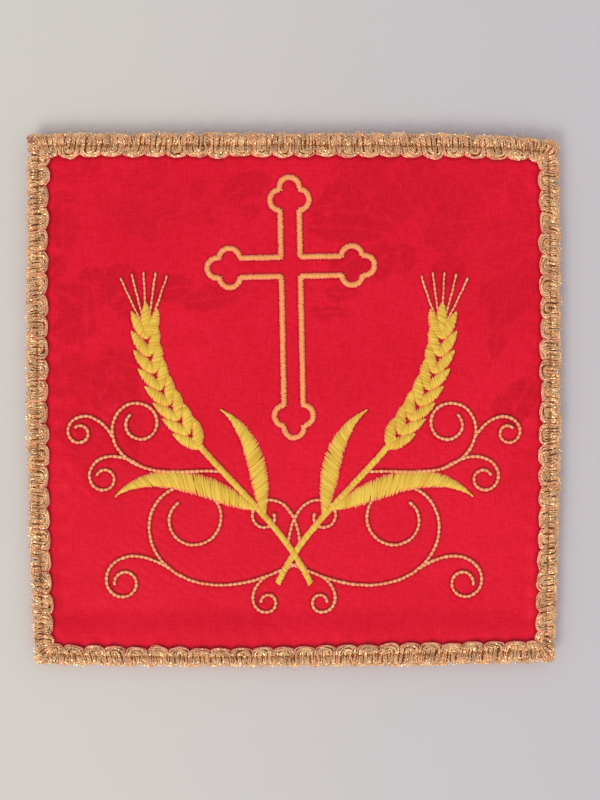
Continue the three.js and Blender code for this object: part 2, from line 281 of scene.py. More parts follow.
@dataclass(frozen=True)
class DamaskFinish(Finish):
    """Red satin damask: a bright ground, a duller woven figure with light veins, and fine threads whose
    lighter streaks carry painted sheen.
    """

    name: str = "red_damask"
    ground: Colour = (232, 20, 49)
    shade: Colour = (226, 17, 45)
    figure: Colour = (212, 12, 38)
    # the two ends of the weave's streaks: real thread texture, with the lighter end whitened in green and
    # blue as painted sheen
    thread_dark: tuple[float, float, float, float] = (0.93, 0.62, 0.74, 1.0)
    thread_light_and_sheen: tuple[float, float, float, float] = (1.07, 1.4, 1.28, 1.0)
    thread_pitch: float = 0.36
    vein_pitch: float = 2.6
    figure_strength: tuple[float, float] = (0.45, 0.95)
    roughness: float = 0.4
    figure_dulling: float = 0.1
    sheen: float = 0.04
    sheen_tint: Colour = (255, 90, 110)
    gloss: float = 0.27
    gloss_tint: Colour = (255, 175, 182)
    lustre: float = 0.06
    # shade_by_stitches and shade_by_braid: painted shade, how much light is left in the cloth's colour at
    # the edge of the embroidery and of the braid
    shade_by_stitches: float = 0.64
    shade_by_braid: float = 0.55

    def weave(self, nodes: Weaver, shader: bpy.types.Node) -> None:
        """Adds the figure, the slow changes of tone and the weave.

        Args:
            nodes: the material's tree.
            shader: the shader that they feed.
        """
        place = nodes.add("ShaderNodeTexCoord").outputs["Object"]
        figure = self.figure_mask(nodes, place)
        cloudy = nodes.ramp(nodes.noise(place, 26.0, 4.0), 0.36, 0.66)
        ground = nodes.mix(cloudy, linear(self.shade), linear(self.ground))
        patchy = nodes.ramp(nodes.noise(place, 22.0, 2.0), 0.35, 0.6, *self.figure_strength)
        strength = nodes.math("MULTIPLY", figure, patchy)
        colour = nodes.mix(strength, ground, linear(self.figure))
        warp = nodes.noise(nodes.stretched(place, (2600.0, 260.0, 90.0)), 1.0, 1.0)
        weft = nodes.noise(nodes.stretched(place, (260.0, 2600.0, 90.0)), 1.0, 1.0)
        threads = nodes.math("ADD", warp, weft)
        grain = nodes.math("MULTIPLY_ADD", nodes.noise(place, 1300.0, 3.0), 1.4, threads)
        # painted sheen: the lighter threads turn whiter, not only brighter
        streak = nodes.mix(nodes.ramp(grain, 1.2, 2.2), self.thread_dark, self.thread_light_and_sheen)
        streaked = nodes.times(colour, streak)
        shading = {
            "Base Color": nodes.times(streaked, self.contact_shade(nodes)),
            "Roughness": nodes.math("MULTIPLY_ADD", figure, self.figure_dulling, self.roughness),
            "Normal": nodes.bump(self.weave_height(nodes, place, threads), 0.5, 0.05),
            "Sheen Weight": self.sheen,
            "Sheen Roughness": 0.4,
            "Sheen Tint": linear(self.sheen_tint),
            "Specular IOR Level": self.gloss,
            "Specular Tint": linear(self.gloss_tint),
            "Metallic": self.lustre,
        }
        nodes.feed(shader, shading)

    def figure_mask(self, nodes: Weaver, place: Any) -> bpy.types.NodeSocket:
        """Draws the figure from the cloth's own attribute.

        Args:
            nodes: the material's tree.
            place: the point on the cloth.

        Returns:
            1 in the figure and 0 on the ground and along the veins.
        """
        parts = nodes.add("ShaderNodeSeparateXYZ", {0: nodes.attribute("figure", "Vector")})
        edge, along, across = parts.outputs
        drawn_in = nodes.math("SUBTRACT", edge, 2.0)
        ragged = nodes.math("MULTIPLY_ADD", nodes.noise(place, 260.0, 3.0), 4.0, drawn_in)
        inside = nodes.ramp(ragged, -0.8, 0.8)
        aside = nodes.math("ABSOLUTE", across)
        rib = nodes.ramp(aside, 0.05, 0.8, 0.35, 1.0)
        slanted = nodes.math("MULTIPLY_ADD", aside, -0.8, along)
        swing = nodes.math("PINGPONG", slanted, self.vein_pitch / 2)
        veins = nodes.ramp(swing, 0.05, 0.4, 0.72, 1.0)
        return nodes.math("MULTIPLY", nodes.math("MULTIPLY", inside, rib), veins)

    def contact_shade(self, nodes: Weaver) -> bpy.types.NodeSocket:
        """Paints shade on the cloth close beside the embroidery and the braid.

        Args:
            nodes: the material's tree.

        Returns:
            What is left of the light, from 0 to 1.
        """
        parts = nodes.add("ShaderNodeSeparateXYZ", {0: nodes.attribute("beside", "Vector")})
        by_stitches = nodes.ramp(parts.outputs[0], 0.1, 0.8, self.shade_by_stitches, 1.0)
        by_braid = nodes.ramp(parts.outputs[1], 0.1, 1.7, self.shade_by_braid, 1.0)
        return nodes.math("MULTIPLY", by_stitches, by_braid)

    def weave_height(self, nodes: Weaver, place: Any, threads: Any) -> bpy.types.NodeSocket:
        """Raises the threads over and under each other.

        Args:
            nodes: the material's tree.
            place: the point on the cloth.
            threads: the threads' own unevenness.

        Returns:
            The height for a bump.
        """
        parts = nodes.add("ShaderNodeSeparateXYZ", {0: place})
        turn = 2 * math.pi / (self.thread_pitch * MM)
        across = nodes.math("SINE", nodes.math("MULTIPLY", parts.outputs[0], turn))
        along = nodes.math("SINE", nodes.math("MULTIPLY", parts.outputs[1], turn))
        crossed = nodes.math("MULTIPLY", across, along)
        return nodes.math("MULTIPLY_ADD", crossed, 0.5, threads)


@dataclass(frozen=True)
class GiltCordFinish(Finish):
    """Cord wrapped in metal foil, with its silk core showing between the turns."""

    name: str = "gilt_cord"
    foil: Colour = (255, 208, 158)
    silk: Colour = (224, 148, 94)
    wrap_pitch: float = 0.62
    foil_roughness: float = 0.32
    silk_roughness: float = 0.5

    def weave(self, nodes: Weaver, shader: bpy.types.Node) -> None:
        """Winds the foil round the cord and roughens it.

        Args:
            nodes: the material's tree.
            shader: the shader that they feed.
        """
        place = nodes.add("ShaderNodeTexCoord").outputs["Object"]
        run, ring = nodes.attribute("run"), nodes.attribute("ring")
        turns = nodes.math("MULTIPLY_ADD", run, 1 / (self.wrap_pitch * MM), ring)
        swing = nodes.math("PINGPONG", turns, 0.5)
        uneven = nodes.noise(place, 700.0, 2.0)
        silk = nodes.ramp(nodes.math("ADD", swing, nodes.math("MULTIPLY", uneven, 0.35)), 0.44, 0.56)
        tone = nodes.ramp(nodes.noise(place, 240.0, 2.0), 0.35, 0.65, 0.86, 1.14)
        colour = nodes.mix(silk, linear(self.foil), linear(self.silk))
        duller = self.silk_roughness - self.foil_roughness
        shading = {
            "Base Color": nodes.times(colour, tone),
            "Roughness": nodes.math("MULTIPLY_ADD", silk, duller, self.foil_roughness),
            "Metallic": nodes.math("MULTIPLY_ADD", silk, -0.5, 0.8),
            "Normal": nodes.bump(nodes.math("MULTIPLY_ADD", silk, -0.6, uneven), 0.6, 0.12),
        }
        nodes.feed(shader, shading)


@dataclass(frozen=True)
class GoldThreadFinish(Finish):
    """Lustrous embroidery thread, a little different from stitch to stitch."""

    name: str = "satin_thread"
    light: Colour = (250, 216, 96)
    deep: Colour = (230, 184, 70)
    ends: Colour = (255, 148, 106)
    ends_from: float = 0.75
    roughness: float = 0.44
    gloss_tint: Colour = (255, 190, 76)

    def weave(self, nodes: Weaver, shader: bpy.types.Node) -> None:
        """Changes the tone by stitch and gives the thread a fine grain of fibres.

        Args:
            nodes: the material's tree.
            shader: the shader that they feed.
        """
        place = nodes.add("ShaderNodeTexCoord").outputs["Object"]
        tone = nodes.attribute("tone")
        patch = nodes.noise(place, 120.0, 2.0)
        share = nodes.math("ADD", nodes.math("MULTIPLY", tone, 0.6), nodes.math("MULTIPLY", patch, 0.4))
        middle = nodes.mix(nodes.ramp(share, 0.15, 0.85), linear(self.deep), linear(self.light))
        # each stitch turns toward the ends colour near where it dips into the cloth; on the fine thread
        # these deeper ends are painted shade between its beads
        drawn_in = nodes.math("SUBTRACT", nodes.attribute("reached"), 0.2)
        ragged_reach = nodes.math("MULTIPLY_ADD", nodes.noise(place, 800.0, 2.0), 0.4, drawn_in)
        tinted_ends = nodes.ramp(ragged_reach, self.ends_from - 0.1, self.ends_from + 0.2)
        fibres = nodes.noise(place, 5200.0, 2.0)
        shading = {
            "Base Color": nodes.mix(tinted_ends, middle, linear(self.ends)),
            "Roughness": nodes.math("MULTIPLY_ADD", fibres, 0.2, self.roughness - 0.1),
            "Normal": nodes.bump(fibres, 0.4, 0.05),
            "Specular IOR Level": 0.5,
            "Specular Tint": linear(self.gloss_tint),
        }
        nodes.feed(shader, shading)


@dataclass(frozen=True)
class FloorFinish(Finish):
    """A plain pale table top with painted light: a little warmer and lighter at its left."""

    name: str = "pale_floor"
    # left and right: painted light, the table top lighter and warmer to the left as if lit from that side
    left: Colour = (217, 214, 208)
    right: Colour = (206, 203, 206)

    def weave(self, nodes: Weaver, shader: bpy.types.Node) -> None:
        """Gives the surface a slow change of colour, painted light that is lighter at its left, and a faint
        grain.

        Args:
            nodes: the material's tree.
            shader: the shader that they feed.
        """
        place = nodes.add("ShaderNodeTexCoord").outputs["Object"]
        across = nodes.add("ShaderNodeSeparateXYZ", {0: place}).outputs[0]
        shading = {
            "Base Color": nodes.mix(nodes.ramp(across, -0.1, 0.1), linear(self.left), linear(self.right)),
            "Roughness": 0.8,
            "Normal": nodes.bump(nodes.noise(place, 900.0, 2.0), 0.08, 0.05),
            "Specular IOR Level": 0.2,
        }
        nodes.feed(shader, shading)


def node_group(name: str, sockets: dict[str, tuple[str, Any]]) -> tuple[Weaver, bpy.types.Node]:
    """Starts a Geometry Nodes group.

    Args:
        name: the group's name.
        sockets: for each named input, its socket type and default.

    Returns:
        The tree and its Group Input node.
    """
    tree = bpy.data.node_groups.new(name, "GeometryNodeTree")
    tree.interface.new_socket("Geometry", in_out="OUTPUT", socket_type="NodeSocketGeometry")
    tree.interface.new_socket("Geometry", in_out="INPUT", socket_type="NodeSocketGeometry")
    for label, (kind, default) in sockets.items():
        socket = tree.interface.new_socket(label, in_out="INPUT", socket_type=kind)
        if default is not None:
            socket.default_value = default
    nodes = Weaver(tree)
    return nodes, nodes.add("NodeGroupInput")


def close_group(nodes: Weaver, geometry: Any, finish: Any, smooth: bool) -> bpy.types.NodeTree:
    """Ends a Geometry Nodes group: realizes what it made and sets its material.

    Args:
        nodes: the group's tree.
        geometry: what the group made.
        finish: the socket of its material.
        smooth: whether its faces are shaded smooth.

    Returns:
        The finished group.
    """
    shaded = nodes.add("GeometryNodeSetShadeSmooth", {"Geometry": geometry, "Shade Smooth": smooth})
    real = nodes.add("GeometryNodeRealizeInstances", {"Geometry": shaded.outputs[0]})
    dressed = nodes.add("GeometryNodeSetMaterial", {"Geometry": real.outputs[0], "Material": finish})
    nodes.add("NodeGroupOutput", {"Geometry": dressed.outputs[0]})
    return nodes.tree


def run_group(
    name: str, source: bpy.types.Mesh, group: bpy.types.NodeTree, inputs: dict[str, Any]
) -> bpy.types.Object:
    """Runs a Geometry Nodes group over a mesh and keeps the result as a plain mesh.

    Args:
        name: the new object's name.
        source: the mesh that the group reads.
        group: the node group.
        inputs: the group's inputs by name.

    Returns:
        The object, at the origin and without modifiers.
    """
    piece = add_to_scene(name, source)
    modifier = piece.modifiers.new("making", "NODES")
    modifier.node_group = group
    for item in group.interface.items_tree:
        if item.item_type == "SOCKET" and item.in_out == "INPUT" and item.name in inputs:
            modifier[item.identifier] = inputs[item.name]
    graph = bpy.context.evaluated_depsgraph_get()
    made = bpy.data.meshes.new_from_object(
        piece.evaluated_get(graph), preserve_all_data_layers=True, depsgraph=graph
    )
    piece.modifiers.clear()
    piece.data = made
    made.name = name
    return piece


def cord_group() -> bpy.types.NodeTree:
    """Makes the group that turns lines into twisted cords of a few flat sides.

    Returns:
        The node group.
    """
    nodes, given = node_group(
        "wrapped_cord",
        {
            "Cord Radius": ("NodeSocketFloat", 0.39 * MM),
            "Sides": ("NodeSocketInt", 5),
            "Turns per Metre": ("NodeSocketFloat", 600.0),
            "Unevenness": ("NodeSocketFloat", 0.12),
            "Seed": ("NodeSocketInt", 1),
            "Finish": ("NodeSocketMaterial", None),
        },
    )
    lines = nodes.add("GeometryNodeMeshToCurve", {"Mesh": given.outputs["Geometry"]})
    length = nodes.add("GeometryNodeSplineParameter").outputs["Length"]
    marked = nodes.store(lines.outputs[0], "run", length)
    turn = nodes.math("MULTIPLY", given.outputs["Turns per Metre"], math.tau)
    angle = nodes.math("MULTIPLY", length, turn)
    twisted = nodes.add("GeometryNodeSetCurveTilt", {"Curve": marked, "Tilt": angle})
    spread = nodes.add(
        "FunctionNodeRandomValue",
        {
            2: nodes.math("SUBTRACT", 1.0, given.outputs["Unevenness"]),
            3: nodes.math("ADD", 1.0, given.outputs["Unevenness"]),
            "Seed": given.outputs["Seed"],
        },
        data_type="FLOAT",
    )
    swelled = nodes.add(
        "GeometryNodeSetCurveRadius", {"Curve": twisted.outputs[0], "Radius": spread.outputs[1]}
    )
    profile = nodes.add(
        "GeometryNodeCurvePrimitiveCircle",
        {"Resolution": given.outputs["Sides"], "Radius": given.outputs["Cord Radius"]},
    )
    around = nodes.add("GeometryNodeSplineParameter").outputs["Factor"]
    ringed = nodes.store(profile.outputs[0], "ring", around)
    tube = nodes.add(
        "GeometryNodeCurveToMesh",
        {"Curve": swelled.outputs[0], "Profile Curve": ringed, "Fill Caps": True},
    )
    return close_group(nodes, tube.outputs[0], given.outputs["Finish"], smooth=False)


def stitch_group() -> bpy.types.NodeTree:
    """Makes the group that lays an arched thread on each point of a bed of stitches.

    Returns:
        The node group.
    """
    nodes, given = node_group(
        "laid_stitches",
        {
            "Steps": ("NodeSocketInt", 7),
            "Sides": ("NodeSocketInt", 5),
            "Fullness": ("NodeSocketFloat", 2.4),
            "Taper": ("NodeSocketFloat", 0.2),
            "Seed": ("NodeSocketInt", 1),
            "Finish": ("NodeSocketMaterial", None),
        },
    )
    line = nodes.add("GeometryNodeCurvePrimitiveLine", {"Start": (-0.5, 0, 0), "End": (0.5, 0, 0)})
    stepped = nodes.add(
        "GeometryNodeResampleCurve", {"Curve": line.outputs[0], "Count": given.outputs["Steps"]}
    )
    profile = nodes.add(
        "GeometryNodeCurvePrimitiveCircle", {"Resolution": given.outputs["Sides"], "Radius": 0.5}
    )
    straight = nodes.add(
        "GeometryNodeCurveToMesh",
        {"Curve": stepped.outputs[0], "Profile Curve": profile.outputs[0], "Fill Caps": True},
    )
    place = nodes.add("ShaderNodeSeparateXYZ", {0: nodes.add("GeometryNodeInputPosition").outputs[0]})
    aside = nodes.math("ABSOLUTE", nodes.math("MULTIPLY", place.outputs[0], 2.0))
    arch = nodes.math("SUBTRACT", 1.0, nodes.math("POWER", aside, given.outputs["Fullness"]))
    marked = nodes.store(straight.outputs[0], "reached", aside)
    pinch = nodes.math("MULTIPLY", nodes.math("POWER", aside, 3.0), given.outputs["Taper"])
    girded = nodes.math("SUBTRACT", 1.0, pinch)
    bent = nodes.add(
        "ShaderNodeCombineXYZ",
        {
            0: place.outputs[0],
            1: nodes.math("MULTIPLY", place.outputs[1], girded),
            2: nodes.math("MULTIPLY_ADD", place.outputs[2], girded, arch),
        },
    )
    thread = nodes.add("GeometryNodeSetPosition", {"Geometry": marked, "Position": bent.outputs[0]})
    stored = "GeometryNodeInputNamedAttribute"
    reach = nodes.add(stored, {"Name": "reach"}, data_type="FLOAT_VECTOR").outputs[0]
    girth = nodes.add(stored, {"Name": "girth"}, data_type="FLOAT").outputs[0]
    rise = nodes.add(stored, {"Name": "rise"}, data_type="FLOAT").outputs[0]
    span = nodes.add("ShaderNodeVectorMath", {0: reach}, operation="LENGTH").outputs["Value"]
    turned = nodes.add("FunctionNodeAlignRotationToVector", {"Vector": reach}, axis="X", pivot_axis="Z")
    size = nodes.add("ShaderNodeCombineXYZ", {0: span, 1: girth, 2: rise})
    laid = nodes.add(
        "GeometryNodeInstanceOnPoints",
        {
            "Points": given.outputs["Geometry"],
            "Instance": thread.outputs[0],
            "Rotation": turned.outputs[0],
            "Scale": size.outputs[0],
        },
    )
    chance = nodes.add("FunctionNodeRandomValue", {"Seed": given.outputs["Seed"]}, data_type="FLOAT")
    toned = nodes.store(laid.outputs[0], "tone", chance.outputs[1], "INSTANCE")
    return close_group(nodes, toned, given.outputs["Finish"], smooth=True)


@dataclass(frozen=True)
class Side:
    """How far each end of a side lies inside its middle's line, and how straight the side is between."""

    low: float
    high: float
    power: float = 2.0

    def drop(self, share: Shares) -> np.ndarray:
        """Gives how far the side has dropped, at shares from -1 at its low end to 1 at its high one."""
        return np.where(share < 0, self.low, self.high) * np.abs(share) ** self.power


@dataclass(frozen=True)
class Outline:
    """The square that the panel and the braid share, with bowed sides and round corners."""

    half: float = OVERALL / 2
    foot: Side = Side(0.8, 1.4)
    right: Side = Side(1.2, 1.5)
    head: Side = Side(0.2, 2.1, 4.0)
    left: Side = Side(1.6, 1.2)
    loops_per_side: int = 24
    corner_loops: float = 0.2

    def bowed(self, x: np.ndarray, y: np.ndarray) -> np.ndarray:
        """Draws the corners in a little from the line of the sides' middles.

        Args:
            x: places from left to right.
            y: places from foot to head.

        Returns:
            The moved places as rows of x and y.
        """
        s, t = x / self.half, y / self.half
        across = np.where(s < 0, self.left.drop(t), self.right.drop(t))
        upright = np.where(t < 0, self.foot.drop(s), self.head.drop(s))
        return np.stack([x - s * across, y - t * upright], -1)

    def ring(self, share: Shares, half: np.ndarray, corner: np.ndarray) -> np.ndarray:
        """Finds points on a square with round corners.

        Args:
            share: shares of the way round, from the lower left corner.
            half: half the square's width at each share.
            corner: the corner's radius at each share.

        Returns:
            The points as rows of x and y.
        """
        share = np.mod(share, 1.0)
        side = np.floor(share * 4)
        along = share * 4 - side
        arc = self.corner_loops / self.loops_per_side
        straight = half - corner
        past = np.where(along < arc, along / arc - 1, np.maximum(0, (along - 1 + arc) / arc))
        angle = past * math.pi / 4
        level = ((along - arc) / (1 - 2 * arc) * 2 - 1) * straight
        x = np.where(past == 0, level, np.sign(past) * straight + corner * np.sin(angle))
        y = np.where(past == 0, -half, -straight - corner * np.cos(angle))
        turn = side * math.pi / 2
        return self.bowed(x * np.cos(turn) - y * np.sin(turn), x * np.sin(turn) + y * np.cos(turn))


@dataclass(frozen=True)
class Stroke:
    """A curve with the heading at each of its points."""

    points: np.ndarray
    headings: np.ndarray
    length: float

    @classmethod
    def sweep(
        cls, root: np.ndarray, heading: float, length: float, bends: tuple[float, float], step: float = 0.1
    ) -> "Stroke":
        """Draws a curve whose bend changes evenly along it.

        Args:
            root: where it starts.
            heading: its first heading in radians.
            length: how long it is.
            bends: its first and last bend in radians a millimetre.
            step: how far its points are apart.

        Returns:
            The curve.
        """
        run = np.linspace(0, length, max(12, int(length / step)))
        headings = heading + bends[0] * run + (bends[1] - bends[0]) * run**2 / (2 * length)
        middles = (headings[1:] + headings[:-1]) / 2
        steps = np.diff(run)[:, None] * np.stack([np.cos(middles), np.sin(middles)], -1)
        points = np.vstack([root, root + np.cumsum(steps, axis=0)])
        return cls(points, headings, length)

    @classmethod
    def through(cls, points: np.ndarray) -> "Stroke":
        """Takes a row of points as a curve and finds its headings.

        Args:
            points: rows of x and y.

        Returns:
            The curve.
        """
        steps = np.gradient(points, axis=0)
        headings = np.unwrap(np.arctan2(steps[:, 1], steps[:, 0]))
        return cls(points, headings, float(np.linalg.norm(np.diff(points, axis=0), axis=1).sum()))

    def at(self, shares: Shares) -> tuple[np.ndarray, np.ndarray]:
        """Finds the places and headings at shares of the length.

        Args:
            shares: shares from 0 to 1.

        Returns:
            The places as rows of x and y, and the headings.
        """
        steps = np.linalg.norm(np.diff(self.points, axis=0), axis=1)
        known = np.concatenate([[0], np.cumsum(steps)]) / steps.sum()
        x = np.interp(shares, known, self.points[:, 0])
        y = np.interp(shares, known, self.points[:, 1])
        return np.stack([x, y], -1), np.interp(shares, known, self.headings)

    def mirrored(self) -> "Stroke":
        """Gives the same curve on the other side of the middle line."""
        return Stroke(self.points * [-1, 1], math.pi - self.headings, self.length)


@dataclass(frozen=True)
class Fold:
    """A soft trough or ridge of the face, a long low swell about its middle."""

    x: float
    y: float
    turn_deg: float
    reach: float
    spread: float
    height: float

    def swell(self, x: np.ndarray, y: np.ndarray) -> np.ndarray:
        """Gives the fold's height at places of the face."""
        along, across = along_and_across(x - self.x, y - self.y, self.turn_deg)
        return self.height * np.exp(-((along / self.reach) ** 2) - (across / self.spread) ** 2)


@dataclass(frozen=True)
class PallFace:
    """The lie of the cloth: flat under the braid, low along the foot, and creased here and there."""

    edge: float
    flat_rim: tuple[float, float] = (5.6, 9.0)
    sag_depth: float = 0.8
    sag_fall: tuple[float, float] = (8.6, 17.0)
    sag_climb: tuple[float, float] = (17.0, 60.0)
    folds: tuple[Fold, ...] = (
        Fold(-67.2, -18, -56, 12, 1.6, 0.24),
        Fold(-68.6, -23, -60, 9, 1.3, 0.18),
        Fold(58, 31, 72, 18, 3.0, -0.25),
        Fold(-61, 53, 40, 14, 3.0, -0.2),
        Fold(-58, -64.8, 0, 17, 4.2, -0.34),
        Fold(-14, -64.5, -8, 9, 3.6, -0.26),
        Fold(60, -64.5, 6, 10, 3.8, -0.3),
        Fold(15, -65, 2, 13, 3.6, -0.24),
        Fold(-9, -62, -38, 9, 0.9, 0.1),
    )

    def free(self, places: np.ndarray) -> np.ndarray:
        """Tells how free the cloth is, from 0 under the braid to 1 further in."""
        return smooth_step(self.edge - np.abs(places).max(1), *self.flat_rim)

    def level(self, places: np.ndarray) -> np.ndarray:
        """Gives the height of the cloth.

        Args:
            places: rows of x and y.

        Returns:
            The height at each place.
        """
        x, y = places[:, 0], places[:, 1]
        swell = sum(fold.swell(x, y) for fold in self.folds)
        fall = smooth_step(y + self.edge, *self.sag_fall)
        climb = smooth_step(y + self.edge, *self.sag_climb)
        return FACE_LEVEL + self.free(places) * (swell - self.sag_depth * fall * (1 - climb))


class StitchBed:
    """The places, directions and sizes of a piece's stitches."""

    def __init__(self, face: PallFace, seed: int) -> None:
        """Starts an empty bed.

        Args:
            face: the lie of the cloth.
            seed: the seed of its unevenness.
        """
        self.face = face
        self.chance = np.random.default_rng(seed)
        self.rows: list[np.ndarray] = []
        self.edges: list[np.ndarray] = []

    def lay(self, centres: np.ndarray, reach: np.ndarray, girth: Any, rise: Any, lift: float = 0.0) -> None:
        """Adds stitches.

        Args:
            centres: rows of x and y.
            reach: the way from end to end of each, as rows of x and y.
            girth: how thick each thread is.
            rise: how high each arches.
            lift: how far above the cloth their ends lie.
        """
        row = np.zeros((len(centres), 8))
        row[:, 0:2] = centres
        row[:, 2] = self.face.level(centres) + lift
        row[:, 3:5] = reach
        row[:, 6] = girth
        row[:, 7] = rise
        self.rows.append(row)

    def satin(
        self, stroke: Stroke, width: WidthRule, rise: float, slant: float = 0.0, pitch: float = 0.33,
        until: float = 1.0,
    ) -> None:
        """Fills a stroke with threads that lie side by side across it.

        Args:
            stroke: the stroke's middle line.
            width: its width at each share of its length.
            rise: how high the threads arch where it is wide.
            slant: how far the threads lean from square, in radians.
            pitch: how far one thread is from the next.
            until: the share of the stroke that is filled.
        """
        count = max(3, int(stroke.length * until / pitch))
        shares = (np.arange(count) + 0.5) / count * until
        places, headings = stroke.at(shares)
        spans = np.maximum(width(shares), 0.5)
        across = headings + math.pi / 2 - slant + self.chance.normal(0, 0.05, count)
        uneven = 1 + self.chance.normal(0, 0.045, count)
        reach = np.stack([np.cos(across), np.sin(across)], -1) * (spans / math.cos(slant) * uneven)[:, None]
        places = places + self.chance.normal(0, 0.05, (count, 2))
        lifts = rise * np.clip(spans / 2.2, 0.45, 1.0) * (1 + self.chance.normal(0, 0.06, count))
        self.lay(places, reach, 0.6, lifts)
        self.mark_edges(places, headings, spans[:, None])

    def running(self, stroke: Stroke, girth: float, rise: float, pitch: float = 1.42) -> None:
        """Lays short stitches end to end along a stroke.

        Args:
            stroke: the line to follow.
            girth: how thick the stitches are.
            rise: how high they arch.
            pitch: the length of a stitch.
        """
        count = max(2, round(stroke.length / pitch))
        ends, _ = stroke.at(np.linspace(0, 1, count + 1))
        ends = ends + self.chance.normal(0, 0.05, ends.shape)
        reach = np.diff(ends, axis=0) * 1.06
        girths = girth * (1 + self.chance.normal(0, 0.07, count))
        lifts = rise * (1 + self.chance.normal(0, 0.1, count))
        self.lay((ends[1:] + ends[:-1]) / 2, reach, girths, lifts)
        places, headings = stroke.at(np.linspace(0, 1, 3 * count))
        self.mark_edges(places, headings, girth)

    def mark_edges(self, places: np.ndarray, headings: np.ndarray, width: Any) -> None:
        """Keeps both edges of a sewn line, for the painted shade beside it."""
        half = np.stack([-np.sin(headings), np.cos(headings)], -1) * width / 2
        self.edges += [places - half, places + half]

    def piece(
        self, name: str, group: bpy.types.NodeTree, finish: Finish, seed: int,
        taper: float = 0.2, fullness: float = 2.4,
    ) -> bpy.types.Object:
        """Sews the bed into one mesh.

        Args:
            name: the piece's name.
            group: the node group that lays stitches.
            finish: the thread's finish.
            seed: the seed of the stitches' tones.
            taper: how much thinner a thread is at its ends.
            fullness: how flat the top of its arch is.

        Returns:
            The finished object.
        """
        rows = np.vstack(self.rows) * MM
        mesh = bpy.data.meshes.new(name + "_bed")
        mesh.from_pydata(rows[:, 0:3].tolist(), [], [])
        set_attribute(mesh, "reach", rows[:, 3:6])
        set_attribute(mesh, "girth", rows[:, 6])
        set_attribute(mesh, "rise", rows[:, 7])
        inputs = {"Taper": taper, "Fullness": fullness, "Seed": seed, "Finish": finish.material()}
        return run_group(name, mesh, group, inputs)


@dataclass
class BuddedCross:
    """The embroidered cross: an outline in satin stitch, with three round buds on each arm."""

    face: PallFace
    crossing: tuple[float, float] = (-0.97, 40.5)
    lean_deg: float = 1.15
    half_bar: float = 2.86
    line: float = 1.6
    arms: tuple[float, float, float, float] = (25.0, 26.6, 25.0, 51.2)
    tip_radius: float = 2.95
    side_radius: float = 3.1
    side_out: float = 2.75
    side_back: float = 6.7
    edges: list[np.ndarray] = field(default_factory=list)

    def arm(self, length: float) -> np.ndarray:
        """Draws one arm's outline, as it points right.

        Args:
            length: from the crossing to the tip.

        Returns:
            The points from the inner corner below it to the one above it.
        """
        tip = np.array([length - self.tip_radius, 0])
        side = np.array([length - self.side_back, -self.side_out])
        apart = np.linalg.norm(tip - side)
        to_tip = math.atan2(*(tip - side)[::-1])
        side_turn = self.angle_between(self.side_radius, apart, self.tip_radius)
        tip_turn = self.angle_between(self.tip_radius, apart, self.side_radius)
        start = math.pi - math.asin((self.side_out - self.half_bar) / self.side_radius)
        notch = to_tip + math.pi + tip_turn
        lower = self.arc(side, self.side_radius, start, to_tip - side_turn + math.tau)
        crown = self.arc(tip, self.tip_radius, notch - math.tau, math.tau - notch)
        upper = lower[::-1] * [1, -1]
        corner = np.array([[self.half_bar, -self.half_bar]])
        return np.vstack([corner, lower, crown, upper])

    @staticmethod
    def angle_between(first: float, second: float, facing: float) -> float:
        """Gives the angle between two sides of a triangle, from its three sides."""
        return math.acos((first**2 + second**2 - facing**2) / (2 * first * second))

    @staticmethod
    def arc(centre: np.ndarray, radius: float, start: float, end: float, steps: int = 24) -> np.ndarray:
        """Gives points along an arc."""
        angles = np.linspace(start, end, steps)
        return centre + radius * np.stack([np.cos(angles), np.sin(angles)], -1)

    def outline(self) -> Stroke:
        """Draws the whole outline, closed.

        Returns:
            The outline as a stroke.
        """
        rows = []
        for quarter, length in enumerate(self.arms):
            turn = quarter * math.pi / 2 + math.radians(self.lean_deg)
            matrix = np.array([[math.cos(turn), math.sin(turn)], [-math.sin(turn), math.cos(turn)]])
            rows.append(self.arm(length) @ matrix + self.crossing)
        loop = np.vstack(rows + [rows[0][:1]])
        apart = np.linalg.norm(np.diff(loop, axis=0), axis=1) > 0.02
        loop = loop[np.concatenate([[True], apart])]
        run = np.concatenate([[0], np.cumsum(np.linalg.norm(np.diff(loop, axis=0), axis=1))])
        even = np.arange(0, run[-1], 0.12)
        points = np.stack([np.interp(even, run, loop[:, 0]), np.interp(even, run, loop[:, 1])], -1)
        return Stroke.through(points)

    def build(self, group: bpy.types.NodeTree, finish: Finish) -> bpy.types.Object:
        """Sews the outline.

        Args:
            group: the node group that lays stitches.
            finish: the thread's finish.

        Returns:
            The finished piece.
        """
        bed = StitchBed(self.face, seed=11)
        bed.satin(self.outline(), even_width(self.line), rise=0.5, slant=0.25)
        piece = bed.piece("cross_satin", group, finish, seed=3)
        self.edges = bed.edges
        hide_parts("cross_embroidery")
        return piece


class Part(Enum):
    """What a stroke of the spray is sewn as."""

    STEM = "stem"
    LEAF = "leaf"
    TENDRIL = "tendril"


@dataclass(frozen=True)
class StrokeRow:
    """One row of the spray's table: a stroke that springs from another."""

    name: str
    parent: str
    share: float
    turn_deg: float
    length: float
    bends: tuple[float, float]
    part: Part = Part.TENDRIL
    width: float = 1.0


